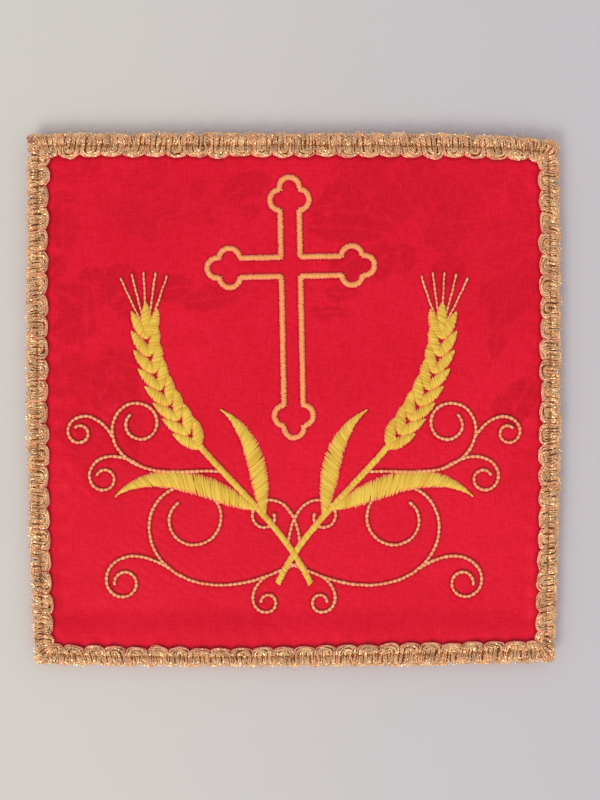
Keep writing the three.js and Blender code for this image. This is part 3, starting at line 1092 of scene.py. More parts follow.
SPRAY_ROWS = (
    StrokeRow("stem", "", 0, 0, 92, (-0.018, 0.026), Part.STEM, 1.9),
    StrokeRow("outer_leaf", "stem", 0.3, -24, 46, (0.006, -0.055), Part.LEAF, 6.4),
    StrokeRow("inner_leaf", "stem", 0.27, 34, 36, (0.004, -0.052), Part.LEAF, 5.4),
    StrokeRow("low_scroll", "stem", 0.08, -84, 122, (0.002, 0.15)),
    StrokeRow("low_curl", "low_scroll", 0.34, -8, 50, (-0.01, -0.34)),
    StrokeRow("foot_curl", "low_scroll", 0.09, -18, 27, (-0.05, -0.5)),
    StrokeRow("mid_scroll", "stem", 0.47, -40, 80, (-0.034, 0.25)),
    StrokeRow("mid_curl", "mid_scroll", 0.3, 12, 40, (-0.004, -0.4)),
    StrokeRow("high_curl", "mid_scroll", 0.47, -20, 34, (-0.02, -0.46)),
    StrokeRow("heart_curl", "stem", 0.15, 46, 38, (-0.012, 0.36)),
)


@dataclass
class WheatSprays:
    """Two crossed sprays of wheat with leaves and curling tendrils, each the other's mirror image."""

    face: PallFace
    root: tuple[float, float] = (-5.0, -55.0)
    heading_deg: float = 66.0
    stem_until: float = 0.62
    grain_pairs: int = 8
    grain_from: float = 0.58
    grain_to: float = 0.98
    grain_length: float = 9.2
    grain_width: float = 3.4
    grain_splay_deg: float = 30.0
    grain_curl: float = 0.06
    tip_grain: float = 9.0
    awns: int = 5
    awn_spread_deg: float = 48.0
    awn_start: float = 4.0
    awn_length: float = 14.0
    awn_bend: float = 0.012
    curves: dict[str, Stroke] = field(default_factory=dict)
    edges: list[np.ndarray] = field(default_factory=list)

    def __post_init__(self) -> None:
        """Draws the strokes of the right spray."""
        for row in SPRAY_ROWS:
            root, heading = np.array(self.root), math.radians(self.heading_deg)
            if row.parent:
                places, headings = self.curves[row.parent].at(np.array([row.share]))
                root, heading = places[0], float(headings[0])
            turned = heading + math.radians(row.turn_deg)
            self.curves[row.name] = Stroke.sweep(root, turned, row.length, row.bends)

    def grains(self) -> list[Stroke]:
        """Draws the grains of the right ear, from the lowest pair to the tip.

        Returns:
            A stroke for each grain.
        """
        stem = self.curves["stem"]
        splay = math.radians(self.grain_splay_deg)
        drawn = []
        for share in np.linspace(self.grain_from, self.grain_to, self.grain_pairs):
            places, headings = stem.at(np.array([share]))
            for side in (1, -1):
                heading = float(headings[0]) + side * splay
                curl = (0, -side * self.grain_curl)
                drawn.append(Stroke.sweep(places[0], heading, self.grain_length, curl))
        drawn.append(Stroke.sweep(stem.points[-1], float(stem.headings[-1]), self.tip_grain, (0, 0)))
        return drawn

    def awn_strokes(self) -> list[Stroke]:
        """Draws the bristles at the tip of the right ear.

        Returns:
            A stroke for each bristle.
        """
        stem = self.curves["stem"]
        drawn = []
        for swing in np.linspace(-0.5, 0.5, self.awns):
            heading = float(stem.headings[-1]) + swing * math.radians(self.awn_spread_deg)
            root = stem.points[-1] + self.awn_start * np.array([math.cos(heading), math.sin(heading)])
            drawn.append(Stroke.sweep(root, heading, self.awn_length, (0, -2 * swing * self.awn_bend)))
        return drawn

    def both(self, stroke: Stroke) -> tuple[Stroke, Stroke]:
        """Gives a stroke and its mirror image."""
        return stroke, stroke.mirrored()

    @staticmethod
    def blade(width: float, fullness: float) -> WidthRule:
        """Makes the rule for the width of a pointed blade.

        Args:
            width: its greatest width.
            fullness: how blunt its ends are, less being blunter.

        Returns:
            The width at each share of the length.
        """
        return lambda shares: width * np.sin(math.pi * np.minimum(1, shares**0.8)) ** fullness

    def build(self, group: bpy.types.NodeTree, thread: Finish, fine: Finish) -> list[bpy.types.Object]:
        """Sews the sprays.

        Args:
            group: the node group that lays stitches.
            thread: the finish of the satin stitches.
            fine: the finish of the thin lines.

        Returns:
            The satin piece and the tendrils.
        """
        satin = StitchBed(self.face, seed=21)
        lines = StitchBed(self.face, seed=22)
        for row in SPRAY_ROWS:
            for side, stroke in zip((1, -1), self.both(self.curves[row.name])):
                if row.part is Part.TENDRIL:
                    lines.running(stroke, girth=1.0, rise=0.36)
                elif row.part is Part.STEM:
                    satin.satin(stroke, even_width(row.width), 0.48, 0.3 * side, until=self.stem_until)
                else:
                    satin.satin(stroke, self.blade(row.width, 0.9), 0.55, 0.5 * side)
        for grain in self.grains():
            for side, stroke in zip((1, -1), self.both(grain)):
                satin.satin(stroke, self.blade(self.grain_width, 0.7), 0.62, 0.45 * side)
        for awn in self.awn_strokes():
            for stroke in self.both(awn):
                lines.running(stroke, girth=0.7, rise=0.3)
        sewn = satin.piece("spray_satin", group, thread, seed=5)
        trails = lines.piece("spray_tendrils", group, fine, seed=6, taper=0.4, fullness=4.0)
        self.edges = satin.edges + lines.edges
        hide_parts("spray_embroidery")
        return [sewn, trails]


class Motif(Enum):
    """The woven figure's shapes: how blunt each one's ends are, and how many scallops its sides have."""

    LEAF = (0.9, 0)
    PETAL = (0.45, 3)
    TWIG = (0.15, 0)
    VEIN = (0.3, 0)

    @property
    def fullness(self) -> float:
        """The power that rounds the shape's ends."""
        return self.value[0]

    @property
    def scallops(self) -> int:
        """The scallops along each side."""
        return self.value[1]


@dataclass(frozen=True)
class FigureRow:
    """One leaf, petal or twig of the woven figure: its root, heading, size and bend."""

    motif: Motif
    x: float
    y: float
    turn_deg: float
    length: float
    width: float
    bend: float = 0.0

    def field(self, x: np.ndarray, y: np.ndarray) -> tuple[np.ndarray, np.ndarray, np.ndarray]:
        """Measures places against the shape.

        Args:
            x: places from left to right.
            y: places from foot to head.

        Returns:
            How far inside the edge each place is, how far along the midrib, and how far to its side.
        """
        along, across = along_and_across(x - self.x, y - self.y, self.turn_deg)
        across = across - self.bend * along**2 / 2
        share = np.clip(along / self.length, 1e-4, 1 - 1e-4)
        half = self.width / 2 * np.sin(math.pi * share**0.85) ** self.motif.fullness
        if self.motif.scallops:
            half = half * (0.84 + 0.16 * np.abs(np.cos(math.pi * self.motif.scallops * share)))
        beyond = np.maximum(np.maximum(-along, along - self.length), 0)
        return half - np.hypot(np.abs(across), beyond), along, across


PETAL_OUT = 3.0  # how far a petal starts from its flower's heart
PETAL_BEND = 0.012
FIGURE_GAP = 0.7  # ground that shows between one shape of the figure and the next


def flower(x: float, y: float, petals: Iterable[tuple[float, float, float]]) -> list[FigureRow]:
    """Sets petals round a flower's heart.

    Args:
        x: the heart's place from left to right.
        y: its place from foot to head.
        petals: for each petal, its heading, length and width.

    Returns:
        The petals' rows.
    """
    rows = []
    for turn, length, width in petals:
        way = math.radians(turn)
        foot = (x + PETAL_OUT * math.cos(way), y + PETAL_OUT * math.sin(way))
        rows.append(FigureRow(Motif.PETAL, *foot, turn, length, width, PETAL_BEND))
    return rows


FIGURE_ROWS = (
    flower(24, 61, [(186, 17, 12), (146, 12, 13), (104, 10, 11), (64, 11, 10), (34, 15, 9)])
    + flower(37, 55, [(158, 12, 14), (118, 14, 11), (78, 16, 12), (40, 14, 13), (352, 14, 12), (318, 12, 9)])
    + flower(30, 50, [(282, 9, 11), (240, 12, 11), (206, 20, 12), (168, 23, 10)])
    + flower(-57, 26, [(102, 12, 15), (56, 14, 13), (148, 13, 10), (196, 13, 13), (14, 12, 9)])
    + flower(-60, 15, [(222, 14, 12), (262, 14, 15), (302, 17, 13), (338, 13, 9)])
    + flower(-57, -2, [(208, 14, 9), (252, 17, 13), (296, 15, 10), (330, 11, 8)])
    + [
        FigureRow(Motif.LEAF, -69, 60, 266, 15.5, 10, 0.01),
        FigureRow(Motif.LEAF, -72, 62, 350, 8, 3.5, -0.03),
        FigureRow(Motif.TWIG, -74, 66, 10, 30, 1.7, -0.012),
        FigureRow(Motif.LEAF, -62, 67, 60, 9, 6, 0.02),
        FigureRow(Motif.LEAF, -57, 65, 274, 11, 5, -0.01),
        FigureRow(Motif.LEAF, -53, 63, 302, 19, 11, 0.012),
        FigureRow(Motif.LEAF, -51, 63, 24, 17, 9, 0.01),
        FigureRow(Motif.TWIG, -48, 61.6, 358, 21, 1.3, 0.004),
        FigureRow(Motif.LEAF, -42, 59, 300, 10, 3.0, 0.17),
        FigureRow(Motif.LEAF, -34, 60, 250, 8, 2.6, -0.2),
        FigureRow(Motif.LEAF, -32, 58, 300, 9, 3.0, 0.17),
        FigureRow(Motif.LEAF, -25, 60, 262, 7, 2.4, -0.18),
        FigureRow(Motif.LEAF, -31, 60, 62, 8, 4.5),
        FigureRow(Motif.PETAL, -21, 60, 38, 15, 10, -0.02),
        FigureRow(Motif.LEAF, -13, 60, 268, 6, 5),
        FigureRow(Motif.LEAF, -74, 37, 46, 10, 6.5, 0.02),
        FigureRow(Motif.PETAL, -43, 33, 14, 14, 9, -0.02),
        FigureRow(Motif.LEAF, -34, 30, 4, 20, 8, 0.01),
        FigureRow(Motif.LEAF, 3, 26, 14, 16, 4, -0.03),
        FigureRow(Motif.LEAF, 8, 33, 350, 12, 5, 0.03),
        FigureRow(Motif.LEAF, 51, 43, 216, 14, 9, 0.01),
        FigureRow(Motif.TWIG, 51, 71, 306, 14, 1.3, 0.02),
        FigureRow(Motif.LEAF, 50, 67, 300, 11, 7, -0.01),
        FigureRow(Motif.LEAF, 55, 66, 14, 9, 5.5),
        FigureRow(Motif.LEAF, 65, 68, 286, 16, 6, 0.01),
        FigureRow(Motif.LEAF, 71, 53.5, 190, 16, 6, 0.01),
        FigureRow(Motif.LEAF, 71, 47.5, 214, 17, 6.5, -0.014),
        FigureRow(Motif.LEAF, 71.5, 43, 236, 26, 13, 0.006),
        FigureRow(Motif.LEAF, 60, 36, 236, 8, 5),
        FigureRow(Motif.LEAF, 61, 22, 268, 10, 5, -0.02),
        FigureRow(Motif.PETAL, 72, 7, 232, 16, 10, 0.02),
        FigureRow(Motif.LEAF, 62, 3, 276, 11, 6, 0.02),
        FigureRow(Motif.VEIN, 5, 59, 50, 15, 1.5),
        FigureRow(Motif.VEIN, 27, 71, 300, 9, 1.2, 0.02),
        FigureRow(Motif.VEIN, 40, 61, 290, 8, 1.4, 0.02),
        FigureRow(Motif.VEIN, 24, 58, 320, 17, 1.1, 0.01),
        FigureRow(Motif.VEIN, 50, 71, 305, 12, 1.2),
        FigureRow(Motif.VEIN, -62, 36, 268, 25, 1.1, 0.006),
        FigureRow(Motif.VEIN, -55, 28, 308, 14, 1.5, 0.01),
        FigureRow(Motif.VEIN, -71, 10, 318, 16, 1.0, -0.01),
        FigureRow(Motif.VEIN, -53, 16, 262, 14, 1.1, -0.02),
        FigureRow(Motif.VEIN, -62, -3, 330, 14, 1.0, 0.03),
        FigureRow(Motif.VEIN, -42, 36, 240, 7, 1.6),
    ]
)


@dataclass
class PallCloth:
    """The panel: stiff damask with turned edges and soft creases in its face."""

    outline: Outline
    face: PallFace
    edge_round: float = 1.1
    corner: float = 2.2
    cells: int = 240
    round_steps: int = 5
    back_insets: tuple[float, ...] = (4.0, 14.0, 34.0, 58.0)

    @property
    def half(self) -> float:
        """Half the panel's width."""
        return self.face.edge

    def placed(self, s: np.ndarray, t: np.ndarray, inset: float) -> np.ndarray:
        """Places a square's points on the panel, with round corners.

        Args:
            s: from -1 at the left to 1 at the right.
            t: from -1 at the foot to 1 at the head.
            inset: how far the square's edge is inside the panel's.

        Returns:
            The places as rows of x and y.
        """
        half = self.half - inset
        radius = max(self.corner - inset, 0.3)
        x, y = s * half, t * half
        out_x = np.maximum(np.abs(x) - (half - radius), 0) / radius
        out_y = np.maximum(np.abs(y) - (half - radius), 0) / radius
        far = np.hypot(out_x, out_y)
        squeeze = np.where(far > 0, np.maximum(out_x, out_y) / np.maximum(far, 1e-9), 1)
        x = np.sign(x) * (np.minimum(np.abs(x), half - radius) + out_x * squeeze * radius)
        y = np.sign(y) * (np.minimum(np.abs(y), half - radius) + out_y * squeeze * radius)
        return self.outline.bowed(x, y)

    def relief(self, places: np.ndarray, sewn: np.ndarray) -> np.ndarray:
        """Gives the face's height with the small waves that the sewing draws in it.

        Args:
            places: rows of x and y.
            sewn: points along the middle of the embroidery's strokes.

        Returns:
            The height at each place.
        """
        x, y = places[:, 0], places[:, 1]
        depth = self.half - np.maximum(np.abs(x), np.abs(y))
        waves = 0.05 * np.sin(x / 9.0 + 1.7 * np.sin(y / 23.0)) * np.sin(y / 11.0 + 0.8 * np.sin(x / 17.0))
        along = np.where(np.abs(x) > np.abs(y), y, x)
        tucks = 0.1 * np.exp(-((depth - 8.0) / 2.4) ** 2) * np.sin(along * 0.98)
        near = self.nearest(places, sewn)
        drawn = -0.12 * np.exp(-((near / 1.6) ** 2))
        ripple = np.sin(1.5 * x + 2.1 * y + 0.6 * np.sin(0.4 * x))
        puckers = 0.05 * np.exp(-((near - 2.6) / 2.2) ** 2) * ripple
        small = self.face.free(places) * (waves + drawn + puckers) + smooth_step(depth, 5.6, 7.0) * tucks
        return self.face.level(places) + small

    @staticmethod
    def nearest(places: np.ndarray, sewn: np.ndarray, reach: float = NEAR_REACH) -> np.ndarray:
        """Finds how far places are from the nearest of some points.

        Args:
            places: rows of x and y.
            sewn: the points, as rows of x and y.
            reach: the greatest distance that matters.

        Returns:
            The distances, none over the reach.
        """
        tree = KDTree(len(sewn))
        for number, (x, y) in enumerate(sewn):
            tree.insert((x, y, 0), number)
        tree.balance()
        return np.minimum(reach, [tree.find((x, y, 0))[2] for x, y in places])

    @staticmethod
    def figure(places: np.ndarray) -> np.ndarray:
        """Measures places against the woven figure, later shapes lying over earlier ones.

        Args:
            places: rows of x and y.

        Returns:
            For each place, how far inside an edge it is, how far along the midrib, and how far to its side.
        """
        edge = np.full(len(places), -FAR_OFF)
        along, across = np.zeros(len(places)), np.full(len(places), FAR_OFF)
        for row in FIGURE_ROWS:
            inside, run, side = row.field(places[:, 0], places[:, 1])
            if row.motif is Motif.VEIN:
                edge = np.minimum(edge, -inside)
                continue
            edge = np.maximum(inside, np.minimum(edge, -inside - FIGURE_GAP))
            over = inside > -FIGURE_GAP / 2
            along = np.where(over, run, along)
            across = np.where(over, side, across)
        return np.stack([edge, along, across], -1)

    def build(self, finish: Finish, sewn: np.ndarray, beside: list[np.ndarray]) -> bpy.types.Object:
        """Makes the panel.

        Args:
            finish: the cloth's finish.
            sewn: points along the middle of the embroidery's strokes.
            beside: points along the edges of the embroidery, and along the braid's inner edge, from which
                the painted shade is measured.

        Returns:
            The finished piece.
        """
        ticks = np.linspace(-1, 1, self.cells + 1)
        t, s = (grid.ravel() for grid in np.meshgrid(ticks, ticks, indexing="ij"))
        face = self.placed(s, t, self.edge_round)
        points = [np.column_stack([face, self.relief(face, sewn)])]
        stride = self.cells + 1
        cell = np.arange(self.cells)
        low = (cell[:, None] * stride + cell[None, :]).ravel()
        faces = np.stack([low, low + 1, low + stride + 1, low + stride], -1).tolist()
        foot, right = cell, cell * stride + self.cells
        head, left = self.cells * stride + self.cells - cell, (self.cells - cell) * stride
        rim = np.concatenate([foot, right, head, left])
        around = len(rim)
        last = rim
        total = stride * stride
        for inset, level in self.rim_levels():
            points.append(np.column_stack([self.placed(s[rim], t[rim], inset), np.full(around, level)]))
            ring = total + np.arange(around)
            following = np.roll(np.arange(around), -1)
            faces += np.stack([last, ring, ring[following], last[following]], -1).tolist()
            last = ring
            total += around
        points.append(np.zeros((1, 3)))
        faces += [[int(a), total, int(b)] for a, b in zip(last, np.roll(last, -1))]
        mesh = bpy.data.meshes.new("pall_cloth")
        mesh.from_pydata((np.vstack(points) * MM).tolist(), [], faces)
        figure = np.vstack([self.figure(block[:, :2]) for block in points])
        figure[stride * stride :, 0] = -FAR_OFF
        set_attribute(mesh, "figure", figure)
        # distances from those edges set the painted shade on the cloth
        gaps = np.full((len(figure), 3), NEAR_REACH)
        for column, points_beside in enumerate(beside):
            gaps[: stride * stride, column] = self.nearest(face, points_beside)
        set_attribute(mesh, "beside", gaps)
        mesh.shade_smooth()
        mesh.materials.append(finish.material())
        piece = add_to_scene("pall_cloth", mesh)
        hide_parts("pall_panel")
        return piece

    def rim_levels(self) -> list[tuple[float, float]]:
        """Lists the rings from the face's edge round to the underside.

        Returns:
            For each ring, how far it is inside the panel's edge and how high.
        """
        rings = []
        for step in range(1, self.round_steps + 1):
            angle = math.pi / 2 * step / self.round_steps
            inset = self.edge_round * (1 - math.sin(angle))
            rings.append((inset, FACE_LEVEL - self.edge_round * (1 - math.cos(angle))))
        lower = [(inset, FACE_LEVEL - level) for inset, level in reversed(rings)]
        rings += lower + [(self.edge_round, 0.0)]
        return rings + [(inset, 0.0) for inset in self.back_insets]


class LoopRow(Enum):
    """The braid's rows of loops: the side, how blunt and wide a loop is, and how its cords close up."""

    INNER = (-1, 0.4, 1.07, 0.6)
    OUTER = (1, 0.22, 1.03, 0.3)

    @property
    def side(self) -> int:
        """1 on the outer edge and -1 on the inner one."""
        return self.value[0]

    @property
    def bluntness(self) -> float:
        """The power that flattens a loop's crest."""
        return self.value[1]

    @property
    def flare(self) -> float:
        """How much wider a loop is than its legs at the groove."""
        return self.value[2]

    @property
    def closing(self) -> float:
        """How much of the cords' spacing is left at a loop's crest."""
        return self.value[3]


def wander(chance: np.random.Generator, count: int, size: float, reach: int = 4) -> np.ndarray:
    """Makes a smooth unevenness that ends as it begins.

    Args:
        chance: where it comes from.
        count: how many values.
        size: how far most values are from 0.
        reach: over how many values it changes.

    Returns:
        The values.
    """
    far = 3 * reach
    kernel = np.exp(-((np.arange(-far, far + 1) / reach) ** 2))
    kernel /= np.sqrt((kernel**2).sum())
    rough = chance.normal(0, 1, count)
    return size * np.convolve(np.concatenate([rough[-far:], rough, rough[:far]]), kernel, "valid")


@dataclass
class GimpBraid:
    """The braid: cords that wander side by side between its edges, bound along the middle."""

    outline: Outline
    width: float = 6.6
    inner_corner: float = 0.4
    outer_corner: float = 1.6
    corner_run: float = 10.0
    narrowing: tuple[tuple[tuple[float, float], ...], ...] = (
        ((-80, -0.2), (-62, 0.7), (-20, 0.9), (0, 0.3), (30, -0.3), (80, -0.5)),
        ((-80, 0.3), (80, 0.3)),
        ((-80, -0.55), (80, -0.55)),
        ((-80, 0.3), (80, 0.3)),
    )
    cord_radius: float = 0.28
    offsets: tuple[float, ...] = (-1.23, -0.8, -0.37, 0.37, 0.8, 1.23)
    bar_middle: float = 0.8
    bar_half: float = 0.43
    bar_rise: float = 0.16
    leg_start: float = 0.05
    sample: float = 0.36
    crest: float = 0.72
    groove: float = 0.2
    edge: float = 0.02
    wobble: float = 0.13
    core_asides: tuple[float, ...] = (-1.8, -1.15, -0.5, 0.15, 0.8, 1.45, 2.1)
    core_radius: float = 0.34
    core_level: float = 0.3
    glints: int = 2600
    glint_radius: float = 0.12
    scallop: float = 1.1
    rim_radius: float = 0.29
    rim_overhang: float = 0.04
    rim_lift: float = 0.2
    edging_radius: float = 0.2
    edging_inset: float = 0.65
    edging_level: float = 0.62
    edging_fall: float = 0.3
    tip_spacing: tuple[float, float] = (0.9, 2.2)
    tip_reach: tuple[float, float] = (0.2, 1.2)
    ties_per_loop: int = 4
    tie_lengths: tuple[float, float] = (0.14, 0.3)
    ties_left_out: float = 0.15
    fray_strands: int = 70
    fray_aside: float = 1.5
    fray_radius: float = 0.16
    stretch: np.ndarray = field(init=False)
    shift: np.ndarray = field(init=False)

    def __post_init__(self) -> None:
        """Draws how far each loop reaches and leans."""
        chance = np.random.default_rng(31)
        self.stretch = 1 + chance.normal(0, 0.05, 2 * self.loops)
        self.shift = chance.normal(0, 0.24, 2 * self.loops)

    @property
    def loops(self) -> int:
        """The loops along each edge, all the way round."""
        return 4 * self.outline.loops_per_side

    @property
    def pitch(self) -> float:
        """The length of one loop along the braid's middle."""
        return 8 * (self.outline.half - self.width / 2) / self.loops

    def placed(self, loop: np.ndarray, aside: np.ndarray) -> np.ndarray:
        """Places points of the braid round the rim, its inner edge drawn outwards where it is narrower.

        Args:
            loop: how many loops along the braid, from the lower left corner.
            aside: how far from the braid's middle, outwards.

        Returns:
            The places as rows of x and y.
        """
        share = aside / self.width
        corner = self.inner_corner + (share + 0.5) * (self.outer_corner - self.inner_corner)
        middle = self.outline.half - self.width / 2
        side = np.floor(4 * loop / self.loops)
        run = 2 * (4 * loop / self.loops - side) - 1
        turned = np.clip((np.abs(run) - 1) * middle / self.corner_run + 1, 0, 1) ** 2
        run = (run * middle + np.sign(run) * aside * turned) / (middle + aside)
        places = self.outline.ring((side + (run + 1) / 2) / 4, middle + aside, np.maximum(corner, 0.3))
        drawn = places.copy()
        for axis, (low, high) in enumerate(((3, 1), (0, 2))):
            out, along = places[:, axis], places[:, 1 - axis]
            depth = self.outline.half - np.abs(out)
            near = smooth_step(depth, 0.8, 5.6) * (1 - smooth_step(depth, 7.4, 14.0))
            narrowing = [np.interp(along, *zip(*self.narrowing[edge])) for edge in (low, high)]
            drawn[:, axis] += np.sign(out) * near * np.where(out < 0, *narrowing)
        return drawn

    def height(self, aside: np.ndarray) -> np.ndarray:
        """Gives the height of a cord's middle above the cloth: low at the edges and in the groove."""
        part = np.clip(np.abs(aside) / (self.width / 2), 0, 1)
        rise = self.groove + (self.crest - self.groove) * np.sin(np.minimum(part / 0.46, 1) * math.pi / 2)
        fall = smooth_step(part, 0.5, 1.0)
        return self.cord_radius + rise * (1 - fall) + self.edge * fall

    def cord_line(self, offset: float, chance: np.random.Generator) -> np.ndarray:
        """Draws the line of one cord, once round the pall.

        Args:
            offset: how far the cord is from the middle of its bundle.
            chance: the source of its own unevenness.

        Returns:
            The line's points, closed.
        """
        shapes = {row: self.loop_shape(row, offset) for row in LoopRow}
        loops, asides = [], []
        for turn in range(2 * self.loops):
            row = LoopRow.INNER if turn % 2 else LoopRow.OUTER
            along, out = shapes[row]
            lean = self.shift[turn] * out / self.width * 2
            loops.append(turn / 2 + (along - lean) / self.pitch)
            asides.append(row.side * out * self.stretch[turn])
        loop, aside = np.concatenate(loops), np.concatenate(asides)
        loop = loop + wander(chance, len(loop), self.wobble) / self.pitch
        aside = aside + wander(chance, len(aside), self.wobble)
        bar = self.bar_rise * (1 - abs(abs(offset) - self.bar_middle) / self.bar_half)
        level = FACE_LEVEL + self.height(aside) + bar + wander(chance, len(aside), self.wobble)
        return np.column_stack([self.placed(loop, aside), level])

    def loop_shape(self, row: LoopRow, offset: float) -> tuple[np.ndarray, np.ndarray]:
        """Draws one loop of a cord: straight legs from the groove, and a blunt crest.

        Args:
            row: the row that the loop is in.
            offset: how far the cord is from the middle of its bundle.

        Returns:
            How far along the braid and how far from its middle each point is, at even steps.
        """
        sweep = self.pitch / 4 + row.side * offset
        crest = self.width / 2 - self.cord_radius - (max(self.offsets) - row.side * offset) * row.closing
        angle = np.linspace(0, math.pi, 400)
        along = -sweep * (1 + (row.flare - 1) * np.sin(angle) ** 0.5) * np.cos(angle)
        out = self.leg_start + (crest - self.leg_start) * np.sin(angle) ** row.bluntness
        length = np.concatenate([[0], np.cumsum(np.hypot(np.diff(along), np.diff(out)))])
        steps = np.arange(0, length[-1] - self.sample / 2, self.sample)
        return np.interp(steps, length, along), np.interp(steps, length, out)

    def rim_line(self, chance: np.random.Generator) -> np.ndarray:
        """Draws the cord that follows the scallops of the inner edge.

        Args:
            chance: the source of its unevenness.

        Returns:
            The line's points, closed.
        """
        steps = int(self.pitch / self.sample)
        phase = np.arange(self.loops * steps) / steps
        turn = 2 * np.floor(phase).astype(int) + 1
        swell = np.abs(np.sin(math.pi * phase))
        full = self.width / 2 - self.rim_radius + self.rim_overhang
        reach = full - self.scallop * (1 - swell**0.6) + (self.stretch[turn] - 1) * full * swell
        loop = phase - self.shift[turn] * swell / self.pitch
        aside = wander(chance, len(phase), 0.06) - reach
        level = FACE_LEVEL + self.rim_radius + self.rim_lift + wander(chance, len(phase), 0.06)
        return np.column_stack([self.placed(loop, aside), level])

    def edging_line(self, chance: np.random.Generator) -> np.ndarray:
        """Draws the fine cord whose small tips stand out along the outer edge.

        Args:
            chance: the source of its unevenness.

        Returns:
            The line's points, closed.
        """
        gaps = chance.uniform(*self.tip_spacing, int(self.loops * self.pitch / np.mean(self.tip_spacing)))
        starts = np.concatenate([[0], np.cumsum(gaps)]) / gaps.sum() * self.loops
        tips = chance.uniform(*self.tip_reach, len(gaps))
        steps = 6
        share = np.arange(len(gaps) * steps) / steps
        gap = np.floor(share).astype(int)
        loop = starts[gap] + (share - gap) * (starts[gap + 1] - starts[gap])
        rise = np.sin(math.pi * (share - gap)) ** 1.5
        aside = self.width / 2 - self.edging_inset + rise * tips[gap] + wander(chance, len(loop), 0.06)
        height = self.edging_level - self.edging_fall * rise
        level = FACE_LEVEL + height + wander(chance, len(loop), 0.12)
        return np.column_stack([self.placed(loop, aside), level])

    def core_lines(self, chance: np.random.Generator) -> list[np.ndarray]:
        """Draws the straight cords that the others are wound over.

        Args:
            chance: the source of their unevenness.

        Returns:
            The lines' points, each closed.
        """
        loop = np.arange(0, self.loops, 0.125)
        lines = []
        for core in self.core_asides:
            aside = core + wander(chance, len(loop), 0.05)
            level = FACE_LEVEL + self.core_level + wander(chance, len(loop), 0.04)
            lines.append(np.column_stack([self.placed(loop, aside), level]))
        return lines

    def glint_lines(self, chance: np.random.Generator) -> list[np.ndarray]:
        """Draws short loose threads of foil that lie across the cords.

        Args:
            chance: the source of their places.

        Returns:
            The lines' points.
        """
        shares = np.linspace(0, 1, 4)
        each = (self.glints, 1)
        start = chance.uniform(0, self.loops, each)
        loop = start + chance.normal(0, 0.09, each) * shares
        half = self.width / 2
        inner = -chance.uniform(0.5, half - self.scallop, each)
        outer = chance.uniform(0.5, half - 0.2, each)
        middle = np.where(chance.random(each) < 0.5, inner, outer)
        aside = middle + chance.uniform(0.35, 0.9, each) * (shares - 0.5)
        arched = 0.05 + 0.1 * np.sin(math.pi * shares)
        lift = self.cord_radius + arched + chance.normal(0, 0.05, each)
        level = FACE_LEVEL + self.height(aside) + lift
        places = self.placed(loop.ravel(), aside.ravel())
        return list(np.column_stack([places, level.ravel()]).reshape(self.glints, len(shares), 3))

    @staticmethod
    def line_mesh(name: str, lines: list[np.ndarray], closed: bool) -> bpy.types.Mesh:
        """Makes a mesh of bare edges along lines.

        Args:
            name: the mesh's name.
            lines: the lines' points.
            closed: whether each line ends where it begins.

        Returns:
            The mesh.
        """
        edges = []
        start = 0
        for line in lines:
            steps = np.arange(start, start + len(line))
            pairs = np.stack([steps, np.roll(steps, -1)], -1)
            edges += (pairs if closed else pairs[:-1]).tolist()
            start += len(line)
        mesh = bpy.data.meshes.new(name)
        mesh.from_pydata((np.vstack(lines) * MM).tolist(), edges, [])
        return mesh

    def build(
        self, group: bpy.types.NodeTree, cords: list[Finish], rim: Finish, edging: Finish, core: Finish
    ) -> list[bpy.types.Object]:
        """Makes the cords.

        Args:
            group: the node group that makes cords.
            cords: the finish of each wandering cord in turn.
            rim: the finish of the cord along the inner edge.
            edging: the finish of the cord along the outer edge and of the loose threads.
            core: the finish of the cords underneath, darker in part as painted shade.

        Returns:
            A piece for each cord.
        """
        seeded = np.random.default_rng
        drawn = []
        for number, (offset, finish) in enumerate(zip(self.offsets, cords)):
            line = self.cord_line(offset, seeded(61 + number))
            drawn.append((f"braid_cord_{number + 1}", [line], self.cord_radius, finish))
        drawn.append(("braid_rim", [self.rim_line(seeded(RIM_SEED))], self.rim_radius, rim))
        drawn.append(("braid_edging", [self.edging_line(seeded(72))], self.edging_radius, edging))
        drawn.append(("braid_core", self.core_lines(seeded(73)), self.core_radius, core))
        drawn.append(("braid_glints", self.glint_lines(seeded(74)), self.glint_radius, edging))
        pieces = []
        for number, (name, lines, radius, finish) in enumerate(drawn):
            mesh = self.line_mesh(name + "_line", lines, closed=name != "braid_glints")
            inputs = {"Cord Radius": radius * MM, "Seed": number, "Finish": finish.material()}
            piece = run_group(name, mesh, group, inputs)
            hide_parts("gimp_braid")
            pieces.append(piece)
        return pieces

    def ties(self, face: PallFace, group: bpy.types.NodeTree, finish: Finish) -> bpy.types.Object:
        """Sews the binding stitches along the groove.

        Args:
            face: the lie of the cloth.
            group: the node group that lays stitches.
            finish: the thread's finish.

        Returns:
            The finished piece.
        """
        bed = StitchBed(face, seed=41)
        count = self.ties_per_loop * self.loops
        starts = np.arange(count) / self.ties_per_loop + bed.chance.normal(0, 0.03, count)
        lengths = bed.chance.uniform(*self.tie_lengths, count)
        asides = bed.chance.normal(-0.15, 0.12, (2, count))
        kept = bed.chance.random(count) > self.ties_left_out
        first = self.placed(starts, asides[0])[kept]
        last = self.placed(starts + lengths, asides[1])[kept]
        lift = self.groove + 2 * self.cord_radius - 0.04
        bed.lay((first + last) / 2, last - first, 0.46, 0.2, lift)
        return bed.piece("braid_ties", group, finish, seed=7)

